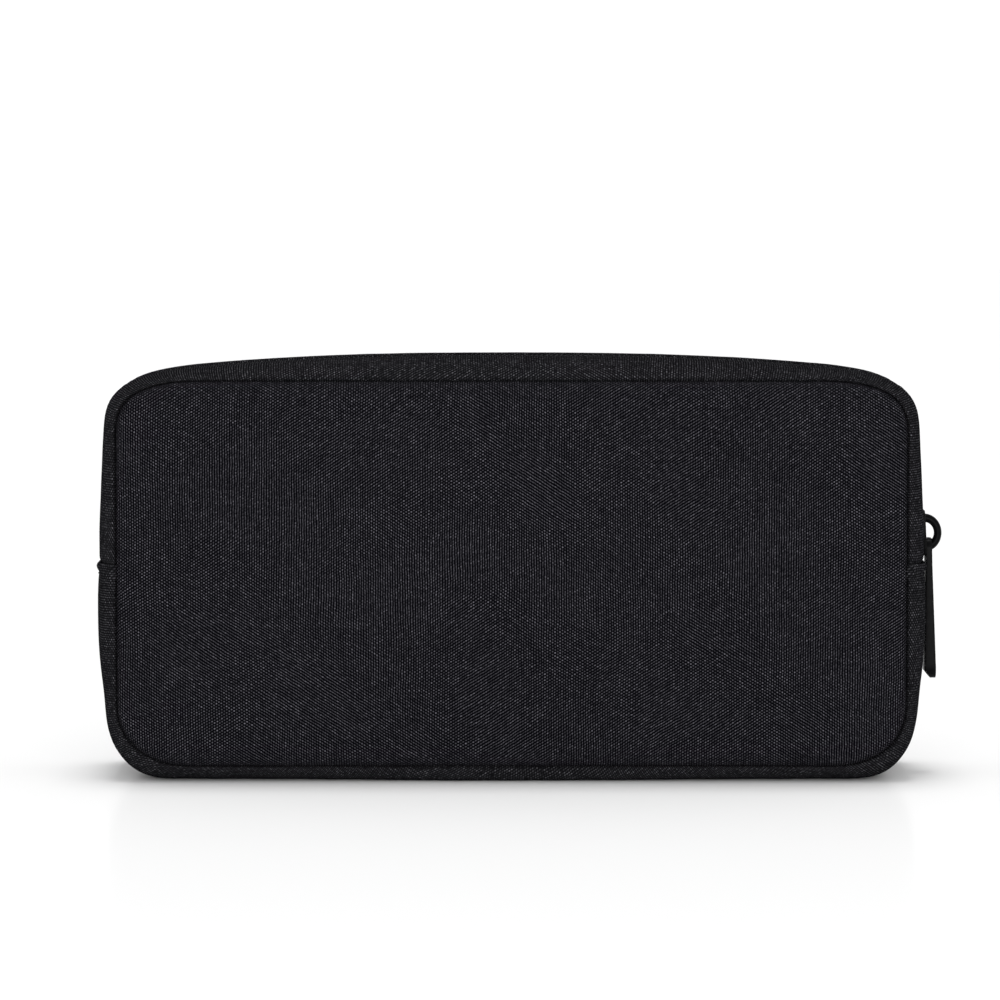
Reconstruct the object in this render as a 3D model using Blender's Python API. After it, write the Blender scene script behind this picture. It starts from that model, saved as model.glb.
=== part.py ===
"""Cable organizer pouch: a fabric pouch closed by a zip that runs from side to side over its top.

X runs across the pouch, Y from front to back and Z up. The origin is the middle of the flat bottom.
The front tips forward on a fold line below the top corners, so the front's pieces are cut at that fold.
"""

import math
from collections import namedtuple

import bmesh
import bpy
from mathutils import Matrix, Vector

MM = 0.001

# Seam outline of the front and back panels, as seen from the front
SEAM_HALF_WIDTH = 113.3 * MM
SEAM_BOTTOM = 4.6 * MM
SEAM_TOP = 115.1 * MM
SEAM_LOW_CORNER_WIDTH = 21.0 * MM
SEAM_LOW_CORNER_HEIGHT = 17.4 * MM
SEAM_HIGH_CORNER_WIDTH = 25.3 * MM
SEAM_HIGH_CORNER_HEIGHT = 14.5 * MM

# Crest of the gusset, halfway between the two panels
CREST_HALF_WIDTH = 119.9 * MM
CREST_WIDEST_HEIGHT = 48.0 * MM
CREST_SIDE_BOW = 3.0
CREST_TOP = 121.7 * MM
CREST_ARCH_DROP = 3.1 * MM
CREST_ARCH_HALF_WIDTH = 89.0 * MM
CREST_ARCH_POWER = 2.5
CREST_SHOULDER_HALF_WIDTH = 118.1 * MM
CREST_SHOULDER_HEIGHT = 98.0 * MM
CREST_CORNER_PEAK = 116.7 * MM
CREST_BASE_HALF_WIDTH = 100.0 * MM
CREST_LOW_CORNER_HEIGHT = 22.0 * MM
CREST_LOW_CORNER_PEAK = 117.5 * MM

# How far a corner's curve reaches towards the point where its two sides would meet
SEAM_LOW_TIGHTNESS = 0.60
SEAM_HIGH_TIGHTNESS = 0.70
CREST_LOW_TIGHTNESS = 0.60
CREST_HIGH_TIGHTNESS = 0.75

# Depth of the pouch, from its middle plane
SEAM_HALF_DEPTH = 26.0 * MM
FLAT_HALF_DEPTH = 14.0 * MM
SHOULDER_DEPTH = SEAM_HALF_DEPTH - FLAT_HALF_DEPTH
CROWN = 3.0 * MM
CROWN_WIDTH = 11.0 * MM

# Cloth layers, each with a small gap to the next
GAP = 0.3 * MM
CLOTH = 1.0 * MM
FOAM = 2.5 * MM
LINING = 0.6 * MM
LAYER_GAP = 0.2 * MM
LINING_INSET = 1.5 * MM
PANEL_RINGS = (7.5 * MM, 4.0 * MM, 1.5 * MM)
PADDING_RINGS = (5.0 * MM,)
GUSSET_LINING_START = math.radians(40)

# Zip: where its ends are sewn in, its strips, tapes, coils and end stops
ZIP_END = 62.0 * MM
HEM_HEIGHT = 4.5 * MM
HEM_SLOPE = 2.0 * MM
HEM_PROUD = 0.3 * MM
STRIP_EDGE = 8.0 * MM
TAPE_INNER_EDGE = 0.6 * MM
TAPE_OUTER_EDGE = 13.7 * MM
TAPE_THICKNESS = 0.6 * MM
TAPE_DEPTH = CLOTH + GAP
COIL_INNER_EDGE = 0.7 * MM
COIL_OUTER_EDGE = 2.9 * MM
COIL_BOTTOM = -1.15 * MM
COIL_TOP = 0.1 * MM
COIL_CHAMFER = 0.5 * MM
COIL_START = 64.1 * MM
STOP_HALF_WIDTH = 3.3 * MM
STOP_TOP = 0.5 * MM
STOP_LENGTH = 1.5 * MM

# Binding tape over the seam allowances inside
BINDING_CLEARANCE = 0.2 * MM
BINDING_THICKNESS = 0.9 * MM
BINDING_OUTER_DEPTH = 23.4 * MM
BINDING_WIDTH = 6.0 * MM

# Fold of the front: its axis runs along X, and two planes through it bound the cloth that crumples
FOLD_DEPTH = -14.0 * MM
FOLD_HEIGHT = 80.0 * MM
FOLD_HALF_ANGLE = math.radians(23)
TAPE_SPLIT_HEIGHT = 98.0 * MM

# Zip slider and its pull tab
SLIDER_HEIGHT = 70.3 * MM
SLIDER_HALF_LENGTH = 6.25 * MM
SLIDER_HALF_WIDTH = 5.0 * MM
SLIDER_PLATE = 1.0 * MM
SLIDER_CORNER = 2.0 * MM
SLIDER_TOP_PLATE = 0.4 * MM
SLIDER_BOTTOM_PLATE = -3.2 * MM
SLIDER_NECK_HALF_WIDTH = 0.4 * MM
SLIDER_NECK_LENGTH = 4.5 * MM
SLIDER_RAIL_INNER = 3.5 * MM
SLIDER_RAIL_BOTTOM = -0.8 * MM
BRIDGE_HALF_LENGTH = 4.8 * MM
BRIDGE_MIDDLE = -0.3 * MM
BRIDGE_HEIGHT = 4.4 * MM
BRIDGE_BAR = 1.7 * MM
BRIDGE_HALF_WIDTH = 1.5 * MM
OVERLAP = 0.3 * MM
PULL_PIVOT_X = 121.4 * MM
PULL_PIVOT_Z = 68.42 * MM
PULL_LEAN = math.radians(0.9)
PULL_BAR_RADIUS = 0.75 * MM
PULL_HOLE_END = 5.2 * MM
PULL_HOLE_HALF_WIDTH = 2.3 * MM
PULL_LENGTH = 40.9 * MM
PULL_CREST_HALF_WIDTH = 2.2 * MM
PULL_SHOULDER_HALF_WIDTH = 3.4 * MM
PULL_TOP_HALF_WIDTH = 4.0 * MM
PULL_END_HALF_WIDTH = 4.5 * MM
PULL_TIP_SHOULDER_HALF_WIDTH = 4.05 * MM
PULL_TIP_HALF_WIDTH = 2.7 * MM
PULL_CREST_THICKNESS = 1.0 * MM
PULL_NECK_THICKNESS = 1.45 * MM
PULL_END_THICKNESS = 2.9 * MM
PULL_TIP_THICKNESS = 2.6 * MM
PULL_END_ROUND = 3.0 * MM
PULL_BEVEL = 2.6 * MM

# Organiser fittings on the back lining
POCKET_HALF_WIDTH = 104.0 * MM
POCKET_BOTTOM = 10.0 * MM
POCKET_TOP = 66.0 * MM
POCKET_EDGE_DEPTH = 20.2 * MM
POCKET_BULGE = 7.2 * MM
POCKET_CLOTH = 0.8 * MM
POCKET_SIDE_POWER = 6
POCKET_BASE_POWER = 4
HEM_BAND_HEIGHT = 7.0 * MM
HEM_BAND_THICKNESS = 1.4 * MM
BAND_BOTTOM = 78.0 * MM
BAND_TOP = 98.0 * MM
BAND_THICKNESS = 0.9 * MM
LOOP_COUNT = 4
LOOP_HALF_WIDTH = 16.0 * MM
LOOP_HEIGHT = 8.0 * MM
LOOP_SEWN_WIDTH = 11.0 * MM

# How finely the curves are divided
BOTTOM_STEPS = 2
CORNER_STEPS = 5
TOP_STEPS = 4
SHOULDER_STEPS = 4
ARC_STEPS = 8
POCKET_ROWS = 5
SIDE_STATIONS = 4
SMOOTH_ANGLE = math.radians(35)
CUT_TOLERANCE = 1e-8

FRONT = -1
BACK = 1
RIGHT = 1
LEFT = -1
UP = Vector((0, 0, 1))

Station = namedtuple("Station", "seam crest")


def make_material(name, colour, roughness, metallic=0.0):
    """A plain surface of one colour."""
    material = bpy.data.materials.new(name)
    material.use_nodes = True
    shader = material.node_tree.nodes["Principled BSDF"]
    shader.inputs["Base Color"].default_value = (*colour, 1)
    shader.inputs["Roughness"].default_value = roughness
    shader.inputs["Metallic"].default_value = metallic
    return material


def make_materials():
    """Every surface of the pouch by name."""
    return {
        "cloth": make_material("cloth", (0.017, 0.016, 0.020), 0.85),
        "foam": make_material("foam", (0.10, 0.10, 0.11), 0.95),
        "lining": make_material("lining", (0.05, 0.05, 0.055), 0.8),
        "tape": make_material("tape", (0.014, 0.014, 0.016), 0.8),
        "coil": make_material("coil", (0.012, 0.012, 0.013), 0.4),
        "binding": make_material("binding", (0.02, 0.02, 0.022), 0.8),
        "mesh": make_material("mesh", (0.02, 0.02, 0.02), 0.7),
        "elastic": make_material("elastic", (0.025, 0.025, 0.028), 0.75),
        "metal": make_material("metal", (0.02, 0.02, 0.021), 0.32, 1.0),
    }


def add_object(name, bm, material):
    """A finished piece in the scene, from its mesh."""
    bmesh.ops.recalc_face_normals(bm, faces=bm.faces)
    bmesh.ops.triangulate(bm, faces=bm.faces)
    mesh = bpy.data.meshes.new(name)
    bm.to_mesh(mesh)
    bm.free()
    mesh.shade_smooth()
    mesh.set_sharp_from_angle(angle=SMOOTH_ANGLE)
    mesh.materials.append(material)
    piece = bpy.data.objects.new(name, mesh)
    bpy.context.collection.objects.link(piece)
    return piece


def skin(sections, closed=False):
    """A mesh that joins closed cross-sections point by point, capped at its ends unless it is a ring."""
    bm = bmesh.new()
    rings = [[bm.verts.new(point) for point in section] for section in sections]
    pairs = list(zip(rings, rings[1:]))
    if closed:
        pairs.append((rings[-1], rings[0]))
    for one, other in pairs:
        for i in range(len(one)):
            j = (i + 1) % len(one)
            bm.faces.new((one[i], one[j], other[j], other[i]))
    if not closed:
        bm.faces.new(rings[0])
        bm.faces.new(rings[-1])
    return bm


def cut_away(bm, point, normal):
    """Remove what lies on the normal's side of a plane, and close the cut."""
    geometry = bm.verts[:] + bm.edges[:] + bm.faces[:]
    cut = bmesh.ops.bisect_plane(
        bm, geom=geometry, dist=CUT_TOLERANCE, plane_co=point, plane_no=normal, clear_outer=True
    )
    edges = [part for part in cut["geom_cut"] if isinstance(part, bmesh.types.BMEdge)]
    bmesh.ops.holes_fill(bm, edges=edges, sides=0)
    return bm


def straight(start, end, steps):
    """Points after start, evenly spaced along a line to end."""
    return [start.lerp(end, i / steps) for i in range(1, steps + 1)]


def corner(start, end, meeting, tightness):
    """Points after start on a round corner to end, whose sides would meet at one point."""
    first_handle = start.lerp(meeting, tightness)
    last_handle = end.lerp(meeting, tightness)
    points = []
    for i in range(1, CORNER_STEPS + 1):
        t = i / CORNER_STEPS
        s = 1 - t
        points.append(
            start * s**3 + first_handle * (3 * s * s * t) + last_handle * (3 * s * t * t) + end * t**3
        )
    return points


def crest_side(height):
    """Half width of the gusset's crest on the lower sides, which bow outwards."""
    return CREST_HALF_WIDTH - CREST_SIDE_BOW * (height - CREST_WIDEST_HEIGHT) ** 2


def low_heights():
    """Heights of the stations up the lower side, from its corner to the hem."""
    end = ZIP_END - GAP / 2
    middle = (CREST_LOW_CORNER_HEIGHT + CREST_WIDEST_HEIGHT) / 2
    return [middle, CREST_WIDEST_HEIGHT, end - HEM_HEIGHT - HEM_SLOPE, end - HEM_HEIGHT, end]


def low_stations():
    """Stations of the right half of the lower gusset, from the bottom's middle up to the hem."""
    seam = [Vector((0, SEAM_BOTTOM))]
    base = Vector((SEAM_HALF_WIDTH - SEAM_LOW_CORNER_WIDTH, SEAM_BOTTOM))
    side = Vector((SEAM_HALF_WIDTH, SEAM_BOTTOM + SEAM_LOW_CORNER_HEIGHT))
    seam += straight(seam[0], base, BOTTOM_STEPS)
    seam += corner(base, side, Vector((SEAM_HALF_WIDTH, SEAM_BOTTOM)), SEAM_LOW_TIGHTNESS)
    seam += [Vector((SEAM_HALF_WIDTH, height)) for height in low_heights()]

    crest = [Vector((0, 0))]
    base = Vector((CREST_BASE_HALF_WIDTH, 0))
    side = Vector((crest_side(CREST_LOW_CORNER_HEIGHT), CREST_LOW_CORNER_HEIGHT))
    crest += straight(crest[0], base, BOTTOM_STEPS)
    crest += corner(base, side, Vector((CREST_LOW_CORNER_PEAK, 0)), CREST_LOW_TIGHTNESS)
    crest += [Vector((crest_side(height), height)) for height in low_heights()]
    for point in crest[-2:]:
        point.x += HEM_PROUD
    return [Station(*pair) for pair in zip(seam, crest)]


def crest_arch(x):
    """Height of the gusset's crest along the top, which is arched."""
    return CREST_TOP - CREST_ARCH_DROP * abs(x / CREST_ARCH_HALF_WIDTH) ** CREST_ARCH_POWER


def high_stations():
    """Stations of the right half of the zip gusset, from the hem up to the top's middle."""
    start_height = ZIP_END + GAP / 2
    seam = [Vector((SEAM_HALF_WIDTH, start_height))]
    side = Vector((SEAM_HALF_WIDTH, SEAM_TOP - SEAM_HIGH_CORNER_HEIGHT))
    top = Vector((SEAM_HALF_WIDTH - SEAM_HIGH_CORNER_WIDTH, SEAM_TOP))
    seam += [side]
    seam += corner(side, top, Vector((SEAM_HALF_WIDTH, SEAM_TOP)), SEAM_HIGH_TIGHTNESS)
    seam += straight(top, Vector((0, SEAM_TOP)), TOP_STEPS)

    crest = [Vector((crest_side(start_height), start_height))]
    side = Vector((CREST_SHOULDER_HALF_WIDTH, CREST_SHOULDER_HEIGHT))
    top = Vector((CREST_ARCH_HALF_WIDTH, crest_arch(CREST_ARCH_HALF_WIDTH)))
    meeting = Vector((CREST_SHOULDER_HALF_WIDTH, CREST_CORNER_PEAK))
    crest += [side]
    crest += corner(side, top, meeting, CREST_HIGH_TIGHTNESS)
    for i in range(TOP_STEPS - 1, -1, -1):
        x = CREST_ARCH_HALF_WIDTH * i / TOP_STEPS
        crest.append(Vector((x, crest_arch(x))))
    return [Station(*pair) for pair in zip(seam, crest)]


def mirrored(stations):
    """The same stations on the left of the pouch."""
    flip = Vector((-1, 1))
    return [Station(station.seam * flip, station.crest * flip) for station in stations]


def low_run():
    """Stations of the whole lower gusset, from the left hem under the bottom to the right hem."""
    right = low_stations()
    return mirrored(right)[:0:-1] + right


def high_run():
    """Stations of the whole zip gusset, from the right hem over the top to the left hem."""
    right = high_stations()
    return right + mirrored(right)[-2::-1]


def side_run(side):
    """Stations of one upper side, from the hem into the top corner."""
    right = high_stations()[:SIDE_STATIONS]
    return right if side == RIGHT else mirrored(right)


def above_seam(station, rise, depth):
    """Point at a rise above the seam, towards the crest, and a depth from the middle plane."""
    flat = station.seam + (station.crest - station.seam).normalized() * rise
    return Vector((flat.x, depth, flat.y))


def above_crest(station, rise, depth):
    """Point at a rise above the crest, and a depth from the middle plane."""
    return above_seam(station, (station.crest - station.seam).length + rise, depth)


def shoulder(station, face, inset, start=0.0):
    """Points of the rounded shoulder from the seam to the crest, inset below the outer skin."""
    bulge = (station.crest - station.seam).length
    points = []
    for i in range(SHOULDER_STEPS + 1):
        angle = start + (math.pi / 2 - start) * i / SHOULDER_STEPS
        depth = FLAT_HALF_DEPTH + (SHOULDER_DEPTH - inset) * math.cos(angle)
        points.append(above_seam(station, (bulge - inset) * math.sin(angle), face * depth))
    return points


def gusset_section(station, inset, thickness, start=0.0):
    """Cross-section of a layer that runs from the front seam over the crest to the back seam."""
    outer = shoulder(station, FRONT, inset, start) + shoulder(station, BACK, inset, start)[::-1]
    below = inset + thickness
    inner = shoulder(station, FRONT, below, start) + shoulder(station, BACK, below, start)[::-1]
    return outer + inner[::-1]


def strip_section(station, face):
    """Cross-section of a zip strip, from its seam to the folded edge beside the zip."""
    outer = shoulder(station, face, 0) + [above_crest(station, 0, face * STRIP_EDGE)]
    inner = shoulder(station, face, CLOTH) + [above_crest(station, -CLOTH, face * STRIP_EDGE)]
    return outer + inner[::-1]


def tape_section(station, face):
    """Cross-section of a zip tape, under the strips and the coil."""
    top = -TAPE_DEPTH
    bottom = top - TAPE_THICKNESS
    corners = (
        (top, TAPE_INNER_EDGE),
        (top, TAPE_OUTER_EDGE),
        (bottom, TAPE_OUTER_EDGE),
        (bottom, TAPE_INNER_EDGE),
    )
    return [above_crest(station, rise, face * depth) for rise, depth in corners]


def coil_section(station, face):
    """Cross-section of one coil of the zip, with its upper edges taken off."""
    corners = (
        (COIL_BOTTOM, COIL_INNER_EDGE),
        (COIL_TOP - COIL_CHAMFER, COIL_INNER_EDGE),
        (COIL_TOP, COIL_INNER_EDGE + COIL_CHAMFER),
        (COIL_TOP, COIL_OUTER_EDGE - COIL_CHAMFER),
        (COIL_TOP - COIL_CHAMFER, COIL_OUTER_EDGE),
        (COIL_BOTTOM, COIL_OUTER_EDGE),
    )
    return [above_crest(station, rise, face * depth) for rise, depth in corners]


def binding_section(station, face):
    """Cross-section of the binding tape that covers a seam inside."""
    low = BINDING_CLEARANCE
    high = low + BINDING_THICKNESS
    outer = face * BINDING_OUTER_DEPTH
    inner = face * (BINDING_OUTER_DEPTH - BINDING_WIDTH)
    corners = ((low, outer), (high, outer), (high, inner), (low, inner))
    return [above_seam(station, rise, depth) for rise, depth in corners]


def seam_ring():
    """The whole seam outline, anticlockwise from the middle of the bottom."""
    low = low_stations()[:-1]
    right = [station.seam for station in low + high_stations()]
    left = [Vector((-point.x, point.y)) for point in right[-2:0:-1]]
    return right + left


def inset_ring(inset):
    """The seam outline moved inwards by a distance."""
    ring = seam_ring()
    count = len(ring)
    moved = []
    for i in range(count):
        along = (ring[(i + 1) % count] - ring[i - 1]).normalized()
        moved.append(ring[i] + Vector((-along.y, along.x)) * inset)
    return moved


def crown(inset):
    """How far a panel stands proud of its seam, at a distance in from the seam."""
    share = 1 - min(inset / CROWN_WIDTH, 1)
    return CROWN * math.sqrt(1 - share * share)


def sheet(face, outer_depth, thickness, edge_inset, insets):
    """A crowned sheet that fills the seam outline, on the front or the back of the pouch."""
    levels = [(inset, outer_depth) for inset in (CROWN_WIDTH, *insets, edge_inset)]
    levels += [(inset, outer_depth - thickness) for inset, _ in levels[::-1]]
    sections = []
    for inset, depth in levels:
        depth = face * (depth + crown(inset))
        sections.append([Vector((point.x, depth, point.y)) for point in inset_ring(inset)])
    return skin(sections)


def panel_sheet(face):
    """The outer cloth of the front or back."""
    return sheet(face, SEAM_HALF_DEPTH, CLOTH, GAP, PANEL_RINGS)


def foam_sheet(face):
    """The padding behind the outer cloth."""
    depth = SEAM_HALF_DEPTH - CLOTH - LAYER_GAP
    return sheet(face, depth, FOAM, LINING_INSET, PADDING_RINGS)


def lining_sheet(face):
    """The lining behind the padding."""
    return sheet(face, lining_depth(), LINING, LINING_INSET, PADDING_RINGS)


def lining_depth():
    """Depth of the lining's outer side at the seam."""
    return SEAM_HALF_DEPTH - CLOTH - FOAM - 2 * LAYER_GAP


def fold_plane(tilt, shift):
    """A plane through the fold's axis, moved by a shift along its upward normal."""
    normal = Vector((0, math.sin(tilt), math.cos(tilt)))
    return Vector((0, FOLD_DEPTH, FOLD_HEIGHT)) + normal * shift, normal


def above_fold(bm):
    """What moves with the front flap."""
    point, normal = fold_plane(FOLD_HALF_ANGLE, GAP / 2)
    return cut_away(bm, point, -normal)


def below_fold(bm):
    """What stays on the shell under the fold."""
    for tilt in (FOLD_HALF_ANGLE, -FOLD_HALF_ANGLE):
        cut_away(bm, *fold_plane(tilt, -GAP / 2))
    return bm


def inside_fold(bm):
    """The cloth that crumples between the flap and the shell."""
    cut_away(bm, *fold_plane(FOLD_HALF_ANGLE, -GAP / 2))
    point, normal = fold_plane(-FOLD_HALF_ANGLE, GAP / 2)
    return cut_away(bm, point, -normal)


def below_height(bm, height):
    """What lies under a height."""
    return cut_away(bm, UP * height, UP)


def above_height(bm, height):
    """What lies over a height."""
    return cut_away(bm, UP * height, -UP)


def build_back(materials):
    """The back of the shell: panel, padding, lining, seam binding and the back half of the zip."""
    add_object("back_panel", panel_sheet(BACK), materials["cloth"])
    add_object("back_foam", foam_sheet(BACK), materials["foam"])
    add_object("back_lining", lining_sheet(BACK), materials["lining"])
    ring = low_run()[:-1] + high_run()[:-1]
    binding = skin([binding_section(station, BACK) for station in ring], closed=True)
    add_object("back_seam_binding", binding, materials["binding"])
    strip = skin([strip_section(station, BACK) for station in high_run()])
    add_object("back_zip_strip", strip, materials["cloth"])
    tape = skin([tape_section(station, BACK) for station in high_run()])
    add_object("back_zip_tape", tape, materials["tape"])
    coil = skin([coil_section(station, BACK) for station in high_run()])
    add_object("back_zip_coil", above_height(coil, COIL_START), materials["coil"])


def build_lower_gusset(materials):
    """The gusset round the bottom and the lower sides, with its lining."""
    outer = skin([gusset_section(station, 0, CLOTH) for station in low_run()])
    add_object("lower_gusset", outer, materials["cloth"])
    inset = CLOTH + GAP
    sections = [gusset_section(station, inset, LINING, GUSSET_LINING_START) for station in low_run()]
    add_object("lower_gusset_lining", skin(sections), materials["lining"])


def build_lower_front(materials):
    """The front below the fold, with the cloth that crumples in the fold."""
    add_object("front_panel_lower", below_fold(panel_sheet(FRONT)), materials["cloth"])
    add_object("front_foam_lower", below_fold(foam_sheet(FRONT)), materials["foam"])
    add_object("front_lining_lower", below_fold(lining_sheet(FRONT)), materials["lining"])
    add_object("front_panel_fold", inside_fold(panel_sheet(FRONT)), materials["cloth"])
    add_object("front_lining_fold", inside_fold(lining_sheet(FRONT)), materials["lining"])
    add_object("front_seam_binding_lower", below_fold(front_binding()), materials["binding"])


def front_binding():
    """The binding round the whole front seam."""
    ring = low_run()[:-1] + high_run()[:-1]
    return skin([binding_section(station, FRONT) for station in ring], closed=True)


def build_front_zip_end(side, word, materials):
    """The lower end of the zip's front half on one side, which stays with the shell."""
    run = side_run(side)
    strip = [strip_section(station, FRONT) for station in run]
    add_object(f"front_strip_end_{word}", below_fold(skin(strip)), materials["cloth"])
    add_object(f"front_strip_fold_{word}", inside_fold(skin(strip)), materials["cloth"])
    split = TAPE_SPLIT_HEIGHT - GAP / 2
    tape = skin([tape_section(station, FRONT) for station in run])
    add_object(f"front_tape_end_{word}", below_height(tape, split), materials["tape"])
    coil = skin([coil_section(station, FRONT) for station in run])
    coil = above_height(below_height(coil, split), COIL_START)
    add_object(f"front_coil_end_{word}", coil, materials["coil"])


def build_zip_stop(side, word, materials):
    """The clip over both coils at one end of the zip."""
    start, end = side_run(side)[:2]
    length = (end.crest - start.crest).length
    sections = []
    for distance in (GAP, GAP + STOP_LENGTH):
        share = distance / length
        station = Station(start.seam.lerp(end.seam, share), start.crest.lerp(end.crest, share))
        corners = ((COIL_BOTTOM, FRONT), (STOP_TOP, FRONT), (STOP_TOP, BACK), (COIL_BOTTOM, BACK))
        sections.append([above_crest(station, rise, face * STOP_HALF_WIDTH) for rise, face in corners])
    add_object(f"zip_stop_{word}", skin(sections), materials["metal"])


def build_front_flap(materials):
    """The front above the fold, hung on an empty that stands on the fold's axis."""
    hinge = bpy.data.objects.new("front_flap_hinge", None)
    hinge.location = (0, FOLD_DEPTH, FOLD_HEIGHT)
    bpy.context.collection.objects.link(hinge)
    split = TAPE_SPLIT_HEIGHT + GAP / 2
    strip = skin([strip_section(station, FRONT) for station in high_run()])
    tape = skin([tape_section(station, FRONT) for station in high_run()])
    coil = skin([coil_section(station, FRONT) for station in high_run()])
    pieces = (
        ("front_panel_upper", above_fold(panel_sheet(FRONT)), "cloth"),
        ("front_foam_upper", above_fold(foam_sheet(FRONT)), "foam"),
        ("front_lining_upper", above_fold(lining_sheet(FRONT)), "lining"),
        ("front_seam_binding_upper", above_fold(front_binding()), "binding"),
        ("front_zip_strip", above_fold(strip), "cloth"),
        ("front_zip_tape", above_height(tape, split), "tape"),
        ("front_zip_coil", above_height(coil, split), "coil"),
    )
    for name, bm, surface in pieces:
        piece = add_object(name, bm, materials[surface])
        piece.parent = hinge
        piece.location = -hinge.location


def pocket_depth(x, height):
    """Depth of the mesh pocket's front, which bulges away from the lining between its sewn edges."""
    across = 1 - abs(x / POCKET_HALF_WIDTH) ** POCKET_SIDE_POWER
    rise = 1 - ((POCKET_TOP - height) / (POCKET_TOP - POCKET_BOTTOM)) ** POCKET_BASE_POWER
    return POCKET_EDGE_DEPTH - POCKET_BULGE * across * min(rise, 1)


def pocket_columns():
    """Places across the pocket, closer together near its sewn sides."""
    steps = 2 * ARC_STEPS
    return [POCKET_HALF_WIDTH * math.sin(math.pi * (i / steps - 0.5)) for i in range(steps + 1)]


def build_pocket(materials):
    """The mesh pocket, open at its top, and the elastic hem along that opening."""
    span = POCKET_TOP - POCKET_BOTTOM
    shares = [math.sin(math.pi / 2 * i / POCKET_ROWS) ** 2 for i in range(POCKET_ROWS + 1)]
    heights = [POCKET_BOTTOM + span * share for share in shares]
    sections = []
    for x in pocket_columns():
        front = [Vector((x, pocket_depth(x, height), height)) for height in heights]
        back = [point + Vector((0, POCKET_CLOTH, 0)) for point in front]
        sections.append(front + back[::-1])
    add_object("mesh_pocket", skin(sections), materials["mesh"])

    low = POCKET_TOP + GAP
    high = low + HEM_BAND_HEIGHT
    sections = []
    for x in pocket_columns():
        front = pocket_depth(x, POCKET_TOP)
        back = front + HEM_BAND_THICKNESS
        corners = ((front, low), (front, high), (back, high), (back, low))
        sections.append([Vector((x, depth, height)) for depth, height in corners])
    add_object("pocket_hem", skin(sections), materials["elastic"])


def build_loop_band(materials):
    """The elastic band that is sewn to the back lining between its loops."""
    face = lining_depth() + CROWN - LINING - LAYER_GAP
    pitch = 2 * LOOP_HALF_WIDTH + LOOP_SEWN_WIDTH
    edge = LOOP_COUNT * pitch / 2 + LOOP_SEWN_WIDTH / 2
    course = [(-edge, face, -edge, face - BAND_THICKNESS)]
    for loop in range(LOOP_COUNT):
        middle = (loop - (LOOP_COUNT - 1) / 2) * pitch
        for i in range(ARC_STEPS + 1):
            angle = math.pi * i / ARC_STEPS
            lift = LOOP_HEIGHT * math.sin(angle)
            inner = middle - LOOP_HALF_WIDTH * math.cos(angle)
            outer = middle - (LOOP_HALF_WIDTH + BAND_THICKNESS) * math.cos(angle)
            course.append((inner, face - lift, outer, face - BAND_THICKNESS - lift))
    course.append((edge, face, edge, face - BAND_THICKNESS))
    sections = []
    for inner_x, inner_depth, outer_x, outer_depth in course:
        corners = (
            (inner_x, inner_depth, BAND_BOTTOM),
            (inner_x, inner_depth, BAND_TOP),
            (outer_x, outer_depth, BAND_TOP),
            (outer_x, outer_depth, BAND_BOTTOM),
        )
        sections.append([Vector(point) for point in corners])
    add_object("cable_loop_band", skin(sections), materials["elastic"])


def zip_lean():
    """Angle by which the zip leans inwards as it runs up the side."""
    start, end = (station.crest for station in high_stations()[:2])
    return math.atan2(start.x - end.x, end.y - start.y)


def crest_x(height):
    """Half width of the crest on the straight upper side."""
    start = high_stations()[0].crest
    return start.x - (height - start.y) * math.tan(zip_lean())


def box(low, high):
    """A closed box between two corners."""
    bm = bmesh.new()
    bmesh.ops.create_cube(bm, size=1)
    low, high = Vector(low), Vector(high)
    scale = Matrix.Diagonal((*(high - low), 1))
    bmesh.ops.transform(bm, matrix=Matrix.Translation((low + high) / 2) @ scale, verts=bm.verts)
    return bm


def slider_plate(low):
    """One plate of the slider, with its four corners cut off."""
    across = SLIDER_HALF_WIDTH
    along = SLIDER_HALF_LENGTH
    outline = []
    for y_sign, z_sign in ((1, 1), (-1, 1), (-1, -1), (1, -1)):
        end = (y_sign * (across - SLIDER_CORNER), z_sign * along)
        side = (y_sign * across, z_sign * (along - SLIDER_CORNER))
        outline += [side, end] if y_sign == z_sign else [end, side]
    return skin([[Vector((x, y, z)) for y, z in outline] for x in (low, low + SLIDER_PLATE)])


def slider_bridge():
    """The open arch on the slider that the pull tab hangs from."""
    base = SLIDER_TOP_PLATE + SLIDER_PLATE
    outline = []
    for shrink, order in ((0, 1), (BRIDGE_BAR, -1)):
        arc = []
        for i in range(ARC_STEPS + 1):
            angle = math.pi * i / ARC_STEPS
            rise = max((BRIDGE_HEIGHT - shrink) * math.sin(angle), 0)
            along = BRIDGE_MIDDLE + (BRIDGE_HALF_LENGTH - shrink) * math.cos(angle)
            arc.append((base + rise, along))
        arc = [(base - OVERLAP, arc[0][1]), *arc, (base - OVERLAP, arc[-1][1])]
        outline += arc[::order]
    sides = (-BRIDGE_HALF_WIDTH, BRIDGE_HALF_WIDTH)
    return skin([[Vector((x, y, z)) for x, z in outline] for y in sides])


def join(piece, bm):
    """Fuse another shape into a piece."""
    other = add_object(f"{piece.name}_part", bm, piece.data.materials[0])
    other.parent = piece
    other.hide_render = True
    other.display_type = "WIRE"
    union = piece.modifiers.new("union", "BOOLEAN")
    union.operation = "UNION"
    union.solver = "EXACT"
    union.object = other


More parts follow.
